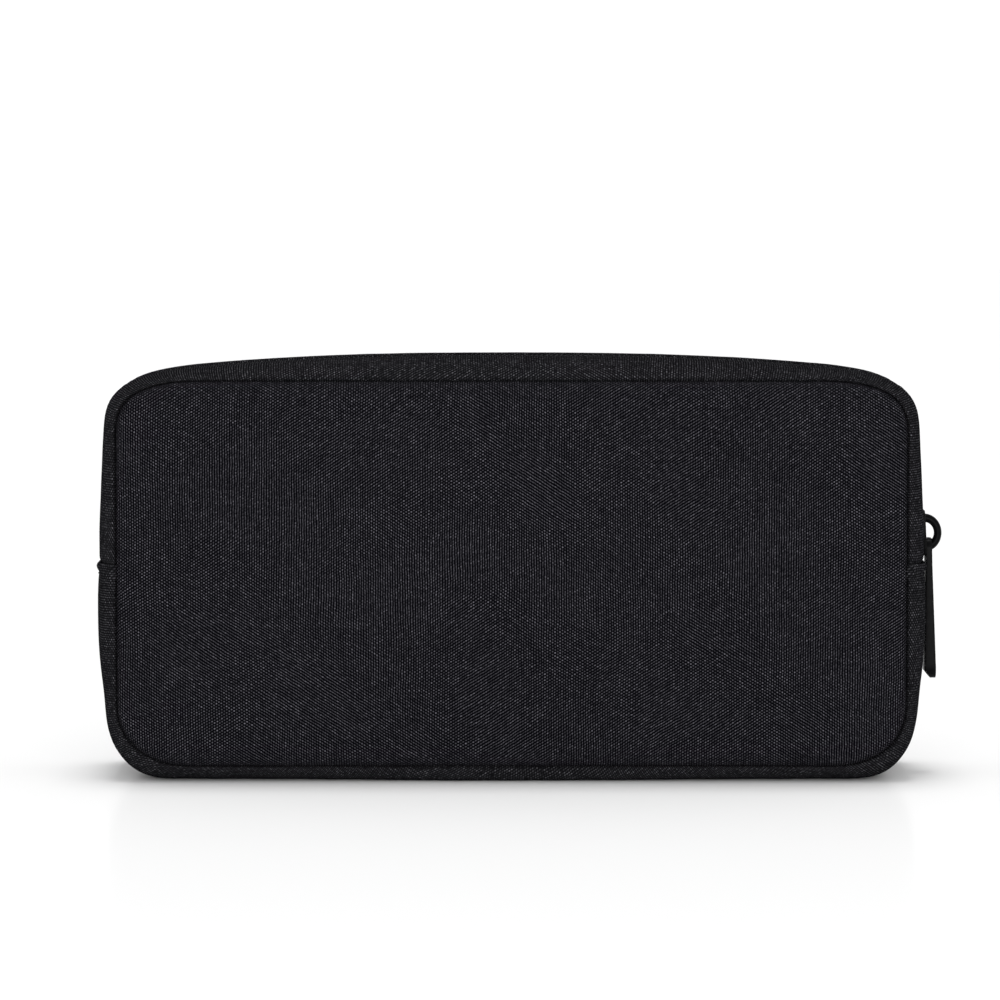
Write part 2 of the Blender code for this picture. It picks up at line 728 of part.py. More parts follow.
def build_slider(materials):
    """The zip slider: two plates on a neck, side rails and the bridge, in one casting."""
    slider = add_object("zip_slider", slider_plate(SLIDER_TOP_PLATE), materials["metal"])
    join(slider, slider_bridge())
    rail_top = SLIDER_TOP_PLATE + OVERLAP
    rail_end = SLIDER_HALF_LENGTH - SLIDER_CORNER
    for face in (FRONT, BACK):
        inner, outer = sorted((face * SLIDER_RAIL_INNER, face * (SLIDER_HALF_WIDTH - OVERLAP)))
        join(slider, box((SLIDER_RAIL_BOTTOM, inner, -rail_end), (rail_top, outer, rail_end)))
    neck_start = OVERLAP - SLIDER_HALF_LENGTH
    neck_low = (SLIDER_BOTTOM_PLATE + SLIDER_PLATE - OVERLAP, -SLIDER_NECK_HALF_WIDTH, neck_start)
    neck_high = (rail_top, SLIDER_NECK_HALF_WIDTH, neck_start + SLIDER_NECK_LENGTH)
    join(slider, box(neck_low, neck_high))
    join(slider, slider_plate(SLIDER_BOTTOM_PLATE))
    slider.location = (crest_x(SLIDER_HEIGHT), 0, SLIDER_HEIGHT)
    slider.rotation_euler = (0, -zip_lean(), 0)


def pull_section(drop, half_width, thickness):
    """Cross-section of the pull tab at a drop below its pivot, with its edges taken off."""
    half = thickness / 2
    edge = half / 2
    corners = (
        (half, half_width - edge),
        (half - edge, half_width),
        (edge - half, half_width),
        (-half, half_width - edge),
    )
    right = [Vector((x, y, -drop)) for x, y in corners]
    left = [Vector((x, -y, -drop)) for x, y in corners[::-1]]
    return right + left


def build_pull_tab(materials):
    """The long pull tab: an eye round the slider's bridge and a blade that thickens to a slanting end."""
    blade_start = PULL_HOLE_END + PULL_BAR_RADIUS
    round_start = PULL_LENGTH - PULL_END_ROUND
    neck = PULL_NECK_THICKNESS
    end = PULL_END_THICKNESS
    sections = [
        pull_section(-PULL_BAR_RADIUS, PULL_CREST_HALF_WIDTH, PULL_CREST_THICKNESS),
        pull_section(-PULL_BAR_RADIUS / 2, PULL_SHOULDER_HALF_WIDTH, neck),
        pull_section(PULL_BAR_RADIUS, PULL_TOP_HALF_WIDTH, neck),
        pull_section(blade_start, PULL_TOP_HALF_WIDTH, neck),
        pull_section(round_start, PULL_END_HALF_WIDTH, end),
        pull_section(PULL_LENGTH - PULL_END_ROUND / 3, PULL_TIP_SHOULDER_HALF_WIDTH, end),
        pull_section(PULL_LENGTH, PULL_TIP_HALF_WIDTH, PULL_TIP_THICKNESS),
    ]
    bm = skin(sections)
    inner_face = Vector((-PULL_END_THICKNESS / 2, 0, PULL_BEVEL - PULL_LENGTH))
    cut_away(bm, inner_face, Vector((-1, 0, -1)).normalized())
    tab = add_object("pull_tab", bm, materials["metal"])
    low = (-PULL_END_THICKNESS, -PULL_HOLE_HALF_WIDTH, -PULL_HOLE_END)
    high = (PULL_END_THICKNESS, PULL_HOLE_HALF_WIDTH, -PULL_BAR_RADIUS)
    eye = add_object("pull_tab_eye", box(low, high), materials["metal"])
    eye.parent = tab
    eye.hide_render = True
    eye.display_type = "WIRE"
    cut = tab.modifiers.new("eye", "BOOLEAN")
    cut.operation = "DIFFERENCE"
    cut.solver = "EXACT"
    cut.object = eye
    tab.location = (PULL_PIVOT_X, 0, PULL_PIVOT_Z)
    tab.rotation_euler = (0, -PULL_LEAN, 0)


def main():
    for piece in list(bpy.data.objects):
        bpy.data.objects.remove(piece)
    materials = make_materials()
    build_back(materials)
    build_lower_gusset(materials)
    build_lower_front(materials)
    for side, word in ((LEFT, "left"), (RIGHT, "right")):
        build_front_zip_end(side, word, materials)
        build_zip_stop(side, word, materials)
    build_front_flap(materials)
    build_pocket(materials)
    build_loop_band(materials)
    build_slider(materials)
    build_pull_tab(materials)


if __name__ == "__main__":
    main()
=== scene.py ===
"""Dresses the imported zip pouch: woven cloth over padding, a coil zip with its slider, and fittings inside.

X runs across the pouch, Y from front to back and Z up, in metres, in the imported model's own frame.
"""

import math

import bmesh
import bpy
import numpy as np
from mathutils import Matrix, Vector, noise


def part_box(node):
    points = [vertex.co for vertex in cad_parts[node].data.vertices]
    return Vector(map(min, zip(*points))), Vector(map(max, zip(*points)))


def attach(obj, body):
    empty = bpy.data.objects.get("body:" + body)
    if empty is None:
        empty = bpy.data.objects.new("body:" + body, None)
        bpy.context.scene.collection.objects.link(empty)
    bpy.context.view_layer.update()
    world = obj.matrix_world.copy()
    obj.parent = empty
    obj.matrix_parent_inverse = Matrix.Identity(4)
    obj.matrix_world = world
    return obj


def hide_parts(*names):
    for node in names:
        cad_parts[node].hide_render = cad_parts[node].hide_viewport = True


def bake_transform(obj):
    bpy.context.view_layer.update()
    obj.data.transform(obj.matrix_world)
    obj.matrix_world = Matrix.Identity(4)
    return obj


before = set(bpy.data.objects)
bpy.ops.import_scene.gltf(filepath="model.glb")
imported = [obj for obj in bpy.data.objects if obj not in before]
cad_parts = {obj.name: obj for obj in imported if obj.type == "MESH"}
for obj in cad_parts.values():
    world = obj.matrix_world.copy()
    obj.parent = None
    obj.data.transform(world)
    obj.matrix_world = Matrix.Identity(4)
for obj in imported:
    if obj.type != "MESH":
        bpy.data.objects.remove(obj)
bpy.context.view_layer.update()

bl_info = {
    "name": "Zip pouch",
    "version": (1, 0, 0),
    "blender": (4, 5, 0),
    "location": "View3D > Sidebar > Pouch",
    "description": "Builds a padded zip pouch in woven cloth, with its coil zip and the fittings inside",
    "category": "Object",
}

MM = 0.001
FRONT = -1
BACK = 1
RIGHT = 1
LEFT = -1
FACES = (("front", FRONT), ("back", BACK))
SIDES = (("left", LEFT), ("right", RIGHT))
UV_NAME = "cloth"

# Distances that count as nothing: between points that are one, and for a point that didn't move
WELD = 1e-6
TINY = 1e-9

# A point inside the pouch, which its cloth faces away from
POUCH_MIDDLE = Vector((0, 0, 60.0 * MM))

# How finely the cloth is divided
BOTTOM_STEPS = 46
CORNER_STEPS = 18
SIDE_STEPS = 21
HEM_SIDE_STEPS = 17
TOP_STEPS = 44
FLAT_COLUMNS = 10
PANEL_COLUMNS = 104
PANEL_ROWS = 46
SHOULDER_ANGLES = np.radians(np.arange(18, 91, 9))

# Outlines: how tightly their corners turn, how the lower sides bow and how sharply the arch drops
LOW_CORNER = 0.60
SEAM_HIGH_CORNER = 0.70
CREST_HIGH_CORNER = 0.765
SIDE_BOW = 3.0
ARCH_POWER = 2.5

# How many points past a corner the crest is still eased, and in how many passes
LOW_EASE_PAST = 8
LOW_EASE_PASSES = 5
HIGH_EASE_PAST = 6
HIGH_EASE_PASSES = 4

# The hem over the zip's ends, and how much of its step is left where the gusset faces the front
ZIP_FOOT = 62.0 * MM
HEM_START = 55.0 * MM
HEM_FRONT_SHARE = 0.25

# Heights up the lower side: up to the hem's roll, over it, and down again under the fold
HEM_HEIGHTS = np.array((
    55.5, 56.3, 57.1, 57.8, 58.4, 58.9, 59.3, 59.6, 59.9, 60.2, 60.5, 60.8, 61.1, 61.4, 61.7, 62.0, 62.25,
    62.42, 62.54, 62.6, 62.58, 62.45, 62.1, 61.5, 60.2, 58.4,
)) * MM
HEM_INSETS = np.array((
    0.0, 0.0, 0.0, 0.0, 0.02, 0.05, 0.08, 0.08, 0.02, -0.17, -0.39, -0.58, -0.71, -0.78, -0.80, -0.74, -0.61,
    -0.43, -0.22, 0.05, 0.27, 0.50, 0.66, 0.74, 0.75, 0.75,
)) * MM

# Heights up the upper side, where the zip tucks under the hem, and how deep the zip lies above that
TUCK_HEIGHTS = np.array((61.0, 61.8, 62.3, 62.65, 62.9, 63.2, 63.5, 63.9, 64.5, 67.0)) * MM
TUCK_INSETS = np.array((0.80, 0.80, 0.78, 0.70, 0.50, 0.28, 0.12, 0.03, 0.0, 0.0)) * MM
ZIP_SINK = 0.55 * MM
ZIP_SINK_HEIGHT = 15.0 * MM

# How much squarer the gusset's roll is under the pouch than a quarter of an ellipse
FOOT_SQUARENESS = 0.42

# The groove beside a seam: distances from the seam, and how far the cloth dips there,
# on the sides and where the seam is level
GROOVE_RISES = np.array((-1.2, -0.1, 0.12, 0.28, 0.60, 1.05)) * MM
GROOVE_DIPS = np.array((2.60, 2.20, 1.20, 0.45, 0.08, 0.0)) * MM
LEVEL_DIPS = np.array((1.60, 1.20, 0.78, 0.46, 0.20, 0.06)) * MM
LEVEL_POWER = 4
PANEL_RINGS = np.array((0.08, 0.2, 0.45, 0.8, 1.25, 1.8, 2.6, 3.6, 4.9, 6.5, 8.5, 11.0)) * MM
PANEL_DIP = 2.0 * MM
PANEL_DIP_REACH = 0.8 * MM
LEVEL_PANEL_DIP = 1.0 * MM
LEVEL_PANEL_DIP_REACH = 0.45 * MM
LEVEL_FADE = 6.0 * MM

# Unevenness of the sewn cloth: where each face reads the noise, and the sizes of its puckers and swells
RIPPLE_PLANE = 0.37
RIPPLE_GAIN = 2
PANEL_SEEDS = {FRONT: 3.1, BACK: 8.4}
GUSSET_SEEDS = {FRONT: 2.2, BACK: 6.1}
STRIP_SEEDS = {FRONT: 4.4, BACK: 9.3}
SHOULDER_PUCKER = 0.12 * MM
PUCKER_WAVE = 7.0 * MM
LONG_PUCKER_WAVE = 17.0 * MM
LONG_PUCKER_SHARE = 0.6
LONG_PUCKER_SEED = 5
PANEL_PUCKER = 0.16 * MM
PANEL_PUCKER_WAVE = 5.0 * MM
PANEL_PUCKER_REACH = 5.0 * MM
PANEL_PUCKER_START = 1.0 * MM
PANEL_PUCKER_RADIUS = 100.0 * MM
PANEL_SWELL = 0.5 * MM
PANEL_SWELL_SIZE = (0.034, 0.026)

# The cloth simulation that fills a panel out
PADDING_PRESSURE = 4.0
PADDING_FRAMES = 20
PADDING_LIMIT = 0.7 * MM
PADDING_RINGS_HELD = 5

# Length and width of a stitch, and where the rows of stitches lie
STITCH_SIZE = (2.3 * MM, 0.38 * MM)
HEM_STITCH = 59.4 * MM
HEM_STITCHES = 16
HEM_STITCH_REACH = 20.5 * MM
HEM_STITCH_LIFT = 0.02 * MM
HEM_STITCH_TURN = 0.5
STRIP_STITCH_PITCH = 3.1 * MM
STRIP_STITCH_LIFT = -0.08 * MM
RUN_MARGIN = 3.5 * MM
RUN_STEP = 0.5 * MM

# A strip past its shoulder, in mm: rise, and distance from the zip's middle, the stitching and the edge
STRIP_FLAT = ((0.0, 12.7), (0.0, 11.4))
STRIP_SEAM = ((-0.05, 0.5), (-0.2, 0.0), (-0.05, -0.5))
STRIP_FOLD = (
    (0.03, 1.0), (0.0, 0.55), (-0.18, 0.2), (-0.45, 0.05), (-0.78, 0.0), (-1.10, 0.05), (-1.40, 0.2),
    (-1.56, 0.6), (-1.60, 1.2), (-1.60, 4.5),
)

# The zip's chain; an end stop lies deeper than its solid
TAPE_COLUMNS = 8
COIL_SLANT = math.radians(5)
COIL_TURN = Matrix.Rotation(math.radians(90), 4, "Z") @ Matrix.Rotation(math.radians(90), 4, "X")
STOP_SINK = 0.45 * MM
STOP_BEVEL = 0.45 * MM

# How nearly along X an edge of a box must run for its outline to be rounded there
OUTLINE_ALONG = 0.9

# The slider's parts across the side, from and to, and how much their edges are softened
SLIDER_TOP = (0.4 * MM, 1.4 * MM, 0.3 * MM)
SLIDER_BOTTOM = (-3.2 * MM, -2.2 * MM, 0.25 * MM)
SLIDER_NECK = (-2.5 * MM, 0.7 * MM, 0.15 * MM)
SLIDER_RAIL = (-0.8 * MM, 0.9 * MM, 0.25 * MM)
SLIDER_TAIL = 0.8 * MM
SLIDER_CORNER = 2.2 * MM
NECK_HALF_WIDTH = 0.4 * MM
NECK_START = 0.4 * MM
NECK_END = -1.6 * MM
RAIL_SIDES = (3.5 * MM, 4.7 * MM)
RAIL_HALF_LENGTH = 4.3 * MM
BRIDGE_BASE = 1.2 * MM
BRIDGE_LIFT = 0.2 * MM

# The pull tab: how it hangs, its eye, its slanting end, and where it widens
PULL_BAR = 0.75 * MM
PULL_HANG = 0.75 * MM
PULL_SET_IN = 0.17 * MM
PULL_LEAN = math.radians(0.9)
PULL_CORNER = 3.2 * MM
PULL_CUTS = (4 * MM, -7 * MM, 6)
PULL_TOP_CUT = 0.15 * MM
PULL_TOP_START = 0.675 * MM
PULL_EYE_HALF_WIDTH = 2.3 * MM
PULL_EYE_LOW = -5.2 * MM
PULL_EYE_CORNER = 1.1 * MM
PULL_EYE_EDGE = 0.01 * MM
PULL_SLANT_START = 2.1 * MM
PULL_SLANT = (-0.795, 0, -0.606)
PULL_NECK_END = -6.0 * MM
PULL_WIDEST = 3.0 * MM
PULL_NECK_SHARE = 0.89
PULL_TOP_SHARE = 0.5
PULL_BEVEL = 0.38 * MM

# Linings and bindings
LINING = 0.6 * MM
LINING_SET_IN = 3.9 * MM
LINING_RINGS = np.array((1.5, 2.4, 3.6, 5.2, 7.6, 11.0)) * MM
LINING_COLUMNS = 44
LINING_ROWS = 22
BINDING = 0.8 * MM
BINDING_STEPS = 13
BINDING_DEPTHS = np.linspace(23.8, 17.8, 7) * MM
BINDING_RISES = np.array((0.95, 1.15, 1.2, 1.2, 1.2, 1.15, 0.95)) * MM
GUSSET_LINING = 0.55 * MM
GUSSET_LINING_TOP = 60.0 * MM
GUSSET_LINING_STEPS = 15
GUSSET_LINING_INSET = 1.35 * MM
GUSSET_LINING_ANGLES = np.radians(np.linspace(40, 90, 7))

# The mesh pocket and its elastic hem
POCKET_SIDE_POWER = 6
POCKET_RISE_POWER = 4
NET_SET_BACK = 0.4 * MM
ELASTIC_GAP = 0.2 * MM
ELASTIC_COLUMNS = 210
ELASTIC_ROWS = 8
ELASTIC_SWELL = 0.25 * MM
GATHER = 0.108 * MM
GATHER_WAVE = 2.6 * MM
GATHER_SEED = 1.7

# The band of cable loops and its stitching
LOOP_WALL = 24.3 * MM
LOOP_POINTS = 25
LOOP_STEPS = 220
LOOP_ROWS = 9
LOOP_STITCH_SIZE = (2.0 * MM, 0.45 * MM)
LOOP_STITCH_PITCH = 1.0 * MM
LOOP_STITCH_FIRST = 1.6 * MM
LOOP_STITCH_LAST = 1.0 * MM
LOOP_STITCH_SHIFTS = (-3.0 * MM, 3.0 * MM)
LOOP_STITCH_LIFT = 0.06 * MM
LOOP_STITCH_ALONG = Vector((1, 0, 0.45))

# Angles in degrees over which edges stay sharp
METAL_SMOOTH = 40
CLOTH_SMOOTH = 60
COIL_SMOOTH = 70
THREAD_SMOOTH = 80

# How far in from a panel's lower and upper seams its weave shows less, and how much is left at the seam
EDGE_CALM = 6.0 * MM
EDGE_CONTRAST = 0.55

# The plain weave. Wander: noise scale and share. Patch and cloud: noise scale and detail.
# Lines and crossings: gain and base over their balance. Mean: gain and base over the tone's spread.
# Strengths: how much each cause makes the threads' tone uneven.
WEAVE_WANDER = ((38.0, 1.0), (420.0, 0.3))
WEAVE_PATCH = (17.0, 2.0)
WEAVE_LEAN_GAIN = 12.0
WEAVE_BALANCE_GAIN = 5.0
WEAVE_LINES = (-0.28, 0.37)
WEAVE_CROSSINGS = (0.3, 0.075)
WEAVE_SHARPNESS = 4.0
WEAVE_MEAN = (8.1, 0.51)
WEAVE_ROUNDNESS = 0.5
WEAVE_WEFT_HEIGHT = 0.8
WEAVE_UPRIGHT_STRETCH = 0.03
WEAVE_LEVEL_STRETCH = 0.04
WEAVE_CLOUD = (110.0, 3.0)
WEAVE_SPECK_MEAN = 0.6
WEAVE_BRIGHT_POWER = 10.0
WEAVE_BRIGHT_GAIN = 1.1
WEAVE_STRENGTHS = {"upright": 0.6, "level": 0.5, "cloud": 0.4, "patch": 0.25}

# The ribbed weave: roundness of a rib, and gain and base of its threads and of its uneven tone
RIB_ROUNDNESS = 0.6
RIB_THREADS = (0.4, 0.6)
RIB_CLOUD = (300.0, 2.0)
RIB_UNEVEN = (0.8, 0.6)

# Relief of cloth and grain, the grain's detail, and how far the grain changes the roughness
CLOTH_BUMP = 0.6
GRAIN_BUMP = 0.25
GRAIN_DETAIL = 4.0
GRAIN_ROUGHNESS = (0.8, 1.25)

# Floor, light and camera, in metres
FLOOR_SIZE = 12
FLOOR_WHITE = (0.97, 0.97, 0.97, 1)
FLOOR_ROUGHNESS = 0.17
HORIZON_FADE = (0.04, 0.2)
TOP_LIGHT_SPREAD = math.radians(21)
TOP_LIGHT_TILT = math.radians(-4.5)
FRONT_LIGHT_SIZE = (1.6, 0.9)
FRONT_LIGHT_PLACE = Vector((0.1, -2.2, 0.25))
FRONT_LIGHT_AIM = Vector((0, 0, 0.06))
SENSOR_WIDTH = 36.0
VIEW_END = 100.0


def length(name, text, millimetres):
    """A length that a user may change."""
    return bpy.props.FloatProperty(
        name=name,
        description=text,
        default=millimetres * MM,
        precision=4,
        subtype="DISTANCE",
        unit="LENGTH",
    )


def share(name, text, value):
    """A share that a user may change."""
    return bpy.props.FloatProperty(name=name, description=text, default=value, subtype="FACTOR")


def brightness(name, text, value):
    """A strength of light that a user may change."""
    return bpy.props.FloatProperty(name=name, description=text, default=value)


def colour(name, text, value):
    """A colour that a user may change."""
    return bpy.props.FloatVectorProperty(
        name=name, description=text, default=value, size=3, min=0, max=1, subtype="COLOR"
    )


class PouchShape(bpy.types.PropertyGroup):
    """Outlines and depth of the pouch."""

    seam_half_width: length("Seam half width", "Half width of a panel at its seam", 113.3)
    seam_bottom: length("Seam bottom", "Height of the lower seam", 4.6)
    seam_top: length("Seam top", "Height of the upper seam", 115.1)
    seam_low_width: length("Lower corner width", "Width of a panel's lower corner", 21.0)
    seam_low_height: length("Lower corner height", "Height of a panel's lower corner", 17.4)
    seam_high_width: length("Upper corner width", "Width of a panel's upper corner", 25.3)
    seam_high_height: length("Upper corner height", "Height of a panel's upper corner", 14.5)
    crest_half_width: length("Crest half width", "Half width of the gusset at its widest", 119.35)
    zip_foot_width: length("Zip foot half width", "Half width of the gusset where the zip ends", 119.31)
    crest_widest: length("Widest height", "Height at which the gusset is widest", 48.0)
    crest_top: length("Crest top", "Height of the gusset over the middle", 121.7)
    arch_drop: length("Arch drop", "Drop of the arched top towards its corners", 3.1)
    arch_half_width: length("Arch half width", "Half width of the arched top", 89.0)
    crest_shoulder: length("Shoulder half width", "Half width of the gusset under its top corners", 117.4)
    crest_shoulder_height: length("Shoulder height", "Height of the gusset's shoulder", 101.0)
    crest_corner_peak: length("Corner peak", "Height where the gusset's side and top would meet", 116.5)
    crest_base: length("Base half width", "Half width of the flat bottom", 100.0)
    crest_low_height: length("Base corner height", "Height of the gusset's lower corner", 22.0)
    crest_low_peak: length("Base corner peak", "Half width where the bottom and side would meet", 117.5)
    seam_half_depth: length("Seam half depth", "Distance from the middle plane to a seam", 26.0)
    flat_half_depth: length("Flat half depth", "Half depth of the gusset's flat middle", 14.0)
    foot_half_depth: length("Foot half depth", "Half depth of the flat that the pouch stands on", 20.5)
    crown: length("Crown", "How far a panel stands proud of its seam", 3.0)
    crown_width: length("Crown width", "Distance over which a panel's edge rounds off", 11.0)
    pillow: length("Pillow", "How much further the padding lifts the middle of a panel", 0.7)
    cloth: length("Cloth thickness", "Thickness of the outer cloth", 0.6)


class PouchZip(bpy.types.PropertyGroup):
    """Sizes of the zip, its strips, slider and pull tab."""

    strip_edge: length("Strip edge", "Distance from the zip's middle to a strip's folded edge", 8.0)
    strip_stitch: length("Strip stitching", "Distance from the zip's middle to the stitching", 10.2)
    tape_inner: length("Tape inner edge", "Distance from the zip's middle to a tape", 0.0)
    tape_outer: length("Tape outer edge", "Distance from the zip's middle to a tape's outer edge", 13.7)
    tape_depth: length("Tape depth", "Depth of the tape under the crest", 1.65)
    tape: length("Tape thickness", "Thickness of the tape", 0.5)
    coil_start: length("Coil start", "Height at which the coils start", 64.3)
    coil_pitch: length("Coil pitch", "Distance between two turns of one coil", 1.4)
    coil_inner: length("Coil nose", "How far a turn reaches past the zip's middle", 0.3)
    coil_outer: length("Coil outer edge", "Distance from the zip's middle to a coil's back", 2.9)
    coil_depth: length("Coil depth", "Depth of a coil's middle under the crest", 0.9)
    coil_half_height: length("Coil half height", "Half height of a coil", 0.62)
    wire: length("Coil wire", "Radius of the coil's wire", 0.31)
    slider_height: length("Slider height", "Height of the slider on the side", 70.3)
    slider_length: length("Slider length", "Length of the slider", 12.5)
    slider_width: length("Slider width", "Width of the slider", 10.0)
    bridge_length: length("Bridge length", "Length of the slider's bridge", 11.1)
    bridge_middle: length("Bridge middle", "Place of the bridge along the slider", -0.55)
    bridge_height: length("Bridge height", "Height of the slider's bridge over its plate", 4.95)
    bridge_bar: length("Bridge bar", "Thickness of the bridge's bar", 2.5)
    bridge_width: length("Bridge width", "Width of the bridge's bar", 3.0)
    pull_length: length("Pull length", "Length of the pull tab under its pivot", 40.9)
    pull_across: length("Pull pivot across", "Place of the pull tab's pivot, across", 121.4)
    pull_height: length("Pull pivot height", "Height of the pull tab's pivot", 68.42)
    pull_width: length("Pull width", "Width of the pull tab at its end", 9.0)
    pull_neck: length("Pull neck", "Thickness of the pull tab at its eye", 1.75)
    pull_end: length("Pull end", "Thickness of the pull tab at its end", 3.2)


class PouchFittings(bpy.types.PropertyGroup):
    """Sizes of the pocket and the cable loops inside."""

    pocket_half_width: length("Pocket half width", "Half width of the mesh pocket", 104.0)
    pocket_bottom: length("Pocket bottom", "Height of the pocket's sewn bottom", 10.0)
    pocket_top: length("Pocket top", "Height of the pocket's net", 66.0)
    pocket_edge: length("Pocket edge depth", "Depth of the pocket's sewn edges", 20.2)
    pocket_bulge: length("Pocket bulge", "How far the pocket bulges from the lining", 7.2)
    net_pitch: length("Net pitch", "Distance between the holes of the net", 2.6)
    net_thread: length("Net thread", "Thickness of the net's threads", 0.45)
    hem_height: length("Pocket hem", "Height of the elastic hem", 7.0)
    hem_thickness: length("Hem thickness", "Thickness of the elastic hem", 1.3)
    band_bottom: length("Band bottom", "Height of the loop band's lower edge", 78.0)
    band_top: length("Band top", "Height of the loop band's upper edge", 98.0)
    band: length("Band thickness", "Thickness of the loop band", 0.9)
    loop_half_width: length("Loop half width", "Half width of a cable loop", 16.0)
    loop_height: length("Loop height", "How far a loop stands off the lining", 8.0)
    loop_sewn: length("Sewn width", "Width that is sewn down between two loops", 11.0)
    loops: bpy.props.IntProperty(name="Loops", description="Number of cable loops", default=4, min=1)


class PouchFinish(bpy.types.PropertyGroup):
    """Colours and weave of the pouch."""

    warp: length("Warp pitch", "Distance between the cloth's upright threads", 0.706)
    weft: length("Weft pitch", "Distance between the cloth's level threads", 0.44)
    cloth_thread: colour("Cloth thread", "Colour of the cloth's threads", (0.084, 0.0815, 0.0935))
    cloth_gap: colour("Cloth gap", "Colour between the cloth's threads", (0.0006, 0.0006, 0.0013))
    edge_thread: colour("Edge thread", "Colour of the gusset's and strips' threads", (0.062, 0.061, 0.067))
    edge_gap: colour("Edge gap", "Colour between the gusset's and strips' threads", (0.0043, 0.0043, 0.005))
    lining_thread: colour("Lining thread", "Colour of the lining's threads", (0.2, 0.2, 0.215))
    lining_gap: colour("Lining gap", "Colour between the lining's threads", (0.028, 0.028, 0.031))
    tape_thread: colour("Tape thread", "Colour of the zip tape", (0.021, 0.021, 0.0235))
    tape_gap: colour("Tape gap", "Colour between the tape's ribs", (0.002, 0.002, 0.0024))
    coil: colour("Coil", "Colour of the zip's coils", (0.012, 0.012, 0.013))
    elastic_thread: colour("Elastic thread", "Colour of the elastic's ribs", (0.035, 0.035, 0.039))
    elastic_gap: colour("Elastic gap", "Colour between the elastic's ribs", (0.003, 0.003, 0.0034))
    thread: colour("Sewing thread", "Colour of the stitching", (0.022, 0.022, 0.025))
    metal: colour("Metal", "Colour of the slider, pull tab and stops", (0.0012, 0.0012, 0.0013))
    metal_worn: colour("Worn metal", "Colour of the metal's rubbed spots", (0.007, 0.007, 0.0075))


class PouchStage(bpy.types.PropertyGroup):
    """Camera, floor and light."""

    camera_distance: length("Camera distance", "Distance from the camera to the pouch", 1500.0)
    camera_elevation: bpy.props.FloatProperty(
        name="Camera elevation",
        description="Angle by which the camera looks down",
        default=math.radians(4.0),
        subtype="ANGLE",
        unit="ROTATION",
    )
    aim_across: length("Aim across", "Point that the camera looks at, across", -3.35)
    aim_height: length("Aim height", "Point that the camera looks at, up", 79.3)
    view_width: length("View width", "Width that the camera sees at the pouch", 290.9)
    sky: brightness("Sky", "Strength of the white surroundings", 0.64)
    horizon: brightness("Horizon", "Strength of the white surroundings near the floor", 1.3)
    top: brightness("Top light", "Strength of the light from above", 1.36)
    key: brightness("Front light", "Power of the front light", 39.0)
    mirror: share("Floor mirror", "Share of the floor's light that it mirrors near the pouch", 0.14)
    mirror_start: length("Mirror start", "How far in front the mirroring starts to fade", 300.0)
    mirror_end: length("Mirror end", "How far in front the mirroring has faded", 700.0)


def bend_curve(start, end, meeting, tightness, steps):
    """Points after start on a round corner to end, whose sides would meet at one point."""
    start, end, meeting = np.array(start), np.array(end), np.array(meeting)
    first = start + (meeting - start) * tightness
    last = end + (meeting - end) * tightness
    t = np.linspace(0, 1, steps + 1)[1:, None]
    s = 1 - t
    return start * s**3 + 3 * first * s * s * t + 3 * last * s * t * t + end * t**3


def eased(points, passes):
    """The same curve with its kinks eased and its ends kept."""
    points = points.copy()
    for _ in range(passes):
        points[1:-1] = (points[:-2] + 2 * points[1:-1] + points[2:]) / 4
    return points


def distances(points):
    """Distance along a curve to each of its points."""
    steps = np.linalg.norm(np.diff(points, axis=0), axis=1)
    return np.concatenate(([0.0], np.cumsum(steps)))


class Run:
    """A stretch of the gusset: matching points of its seam and its crest, seen from the front."""

    def __init__(self, seam, crest):
        self.seam = seam
        self.crest = crest
        reach = crest - seam
        self.bulge = np.linalg.norm(reach, axis=1)
        self.out = reach / self.bulge[:, None]
        self.distance = distances(crest)

    def points(self, rise, depth):
        """Points at a rise over the seam, towards the crest, and at a depth from the middle plane."""
        flat = self.seam[:, None, :] + self.out[:, None, :] * rise[:, :, None]
        return np.stack((flat[..., 0], np.broadcast_to(depth, rise.shape), flat[..., 1]), axis=-1)


def mirrored(points):
    """The same points on the other side of the pouch, in the opposite order."""
    return points[::-1] * (-1, 1)


def under_bottom(half):
    """A curve from the bottom's middle up the right side, led in by the same curve on the left."""
    return np.vstack((mirrored(half[1:]), half))


def over_top(half):
    """A curve up the right side to the top's middle, carried on down the left side."""
    return np.vstack((half, mirrored(half[:-1])))


def crest_side(shape, height):
    """Half width of the gusset's lower sides, which bow outwards."""
    return shape.crest_half_width - SIDE_BOW * (height - shape.crest_widest) ** 2


def crest_arch(shape, x):
    """Height of the gusset's arched top."""
    return shape.crest_top - shape.arch_drop * np.abs(x / shape.arch_half_width) ** ARCH_POWER


def low_half(shape, heights):
    """Seam and crest of the lower gusset's right half, from the bottom's middle up to given heights."""
    meeting = np.array((shape.seam_half_width, shape.seam_bottom))
    base = meeting - (shape.seam_low_width, 0)
    side = meeting + (0, shape.seam_low_height)
    seam = np.vstack((
        np.linspace((0, shape.seam_bottom), base, BOTTOM_STEPS + 1),
        bend_curve(base, side, meeting, LOW_CORNER, CORNER_STEPS),
        np.column_stack((np.full(len(heights), shape.seam_half_width), heights)),
    ))
    base = (shape.crest_base, 0)
    side = (crest_side(shape, shape.crest_low_height), shape.crest_low_height)
    crest = np.vstack((
        np.linspace((0, 0), base, BOTTOM_STEPS + 1),
        bend_curve(base, side, (shape.crest_low_peak, 0), LOW_CORNER, CORNER_STEPS),
        np.column_stack((crest_side(shape, heights), heights)),
    ))
    bend = slice(BOTTOM_STEPS // 2, BOTTOM_STEPS + CORNER_STEPS + LOW_EASE_PAST)
    crest[bend] = eased(crest[bend], LOW_EASE_PASSES)
    return seam, crest


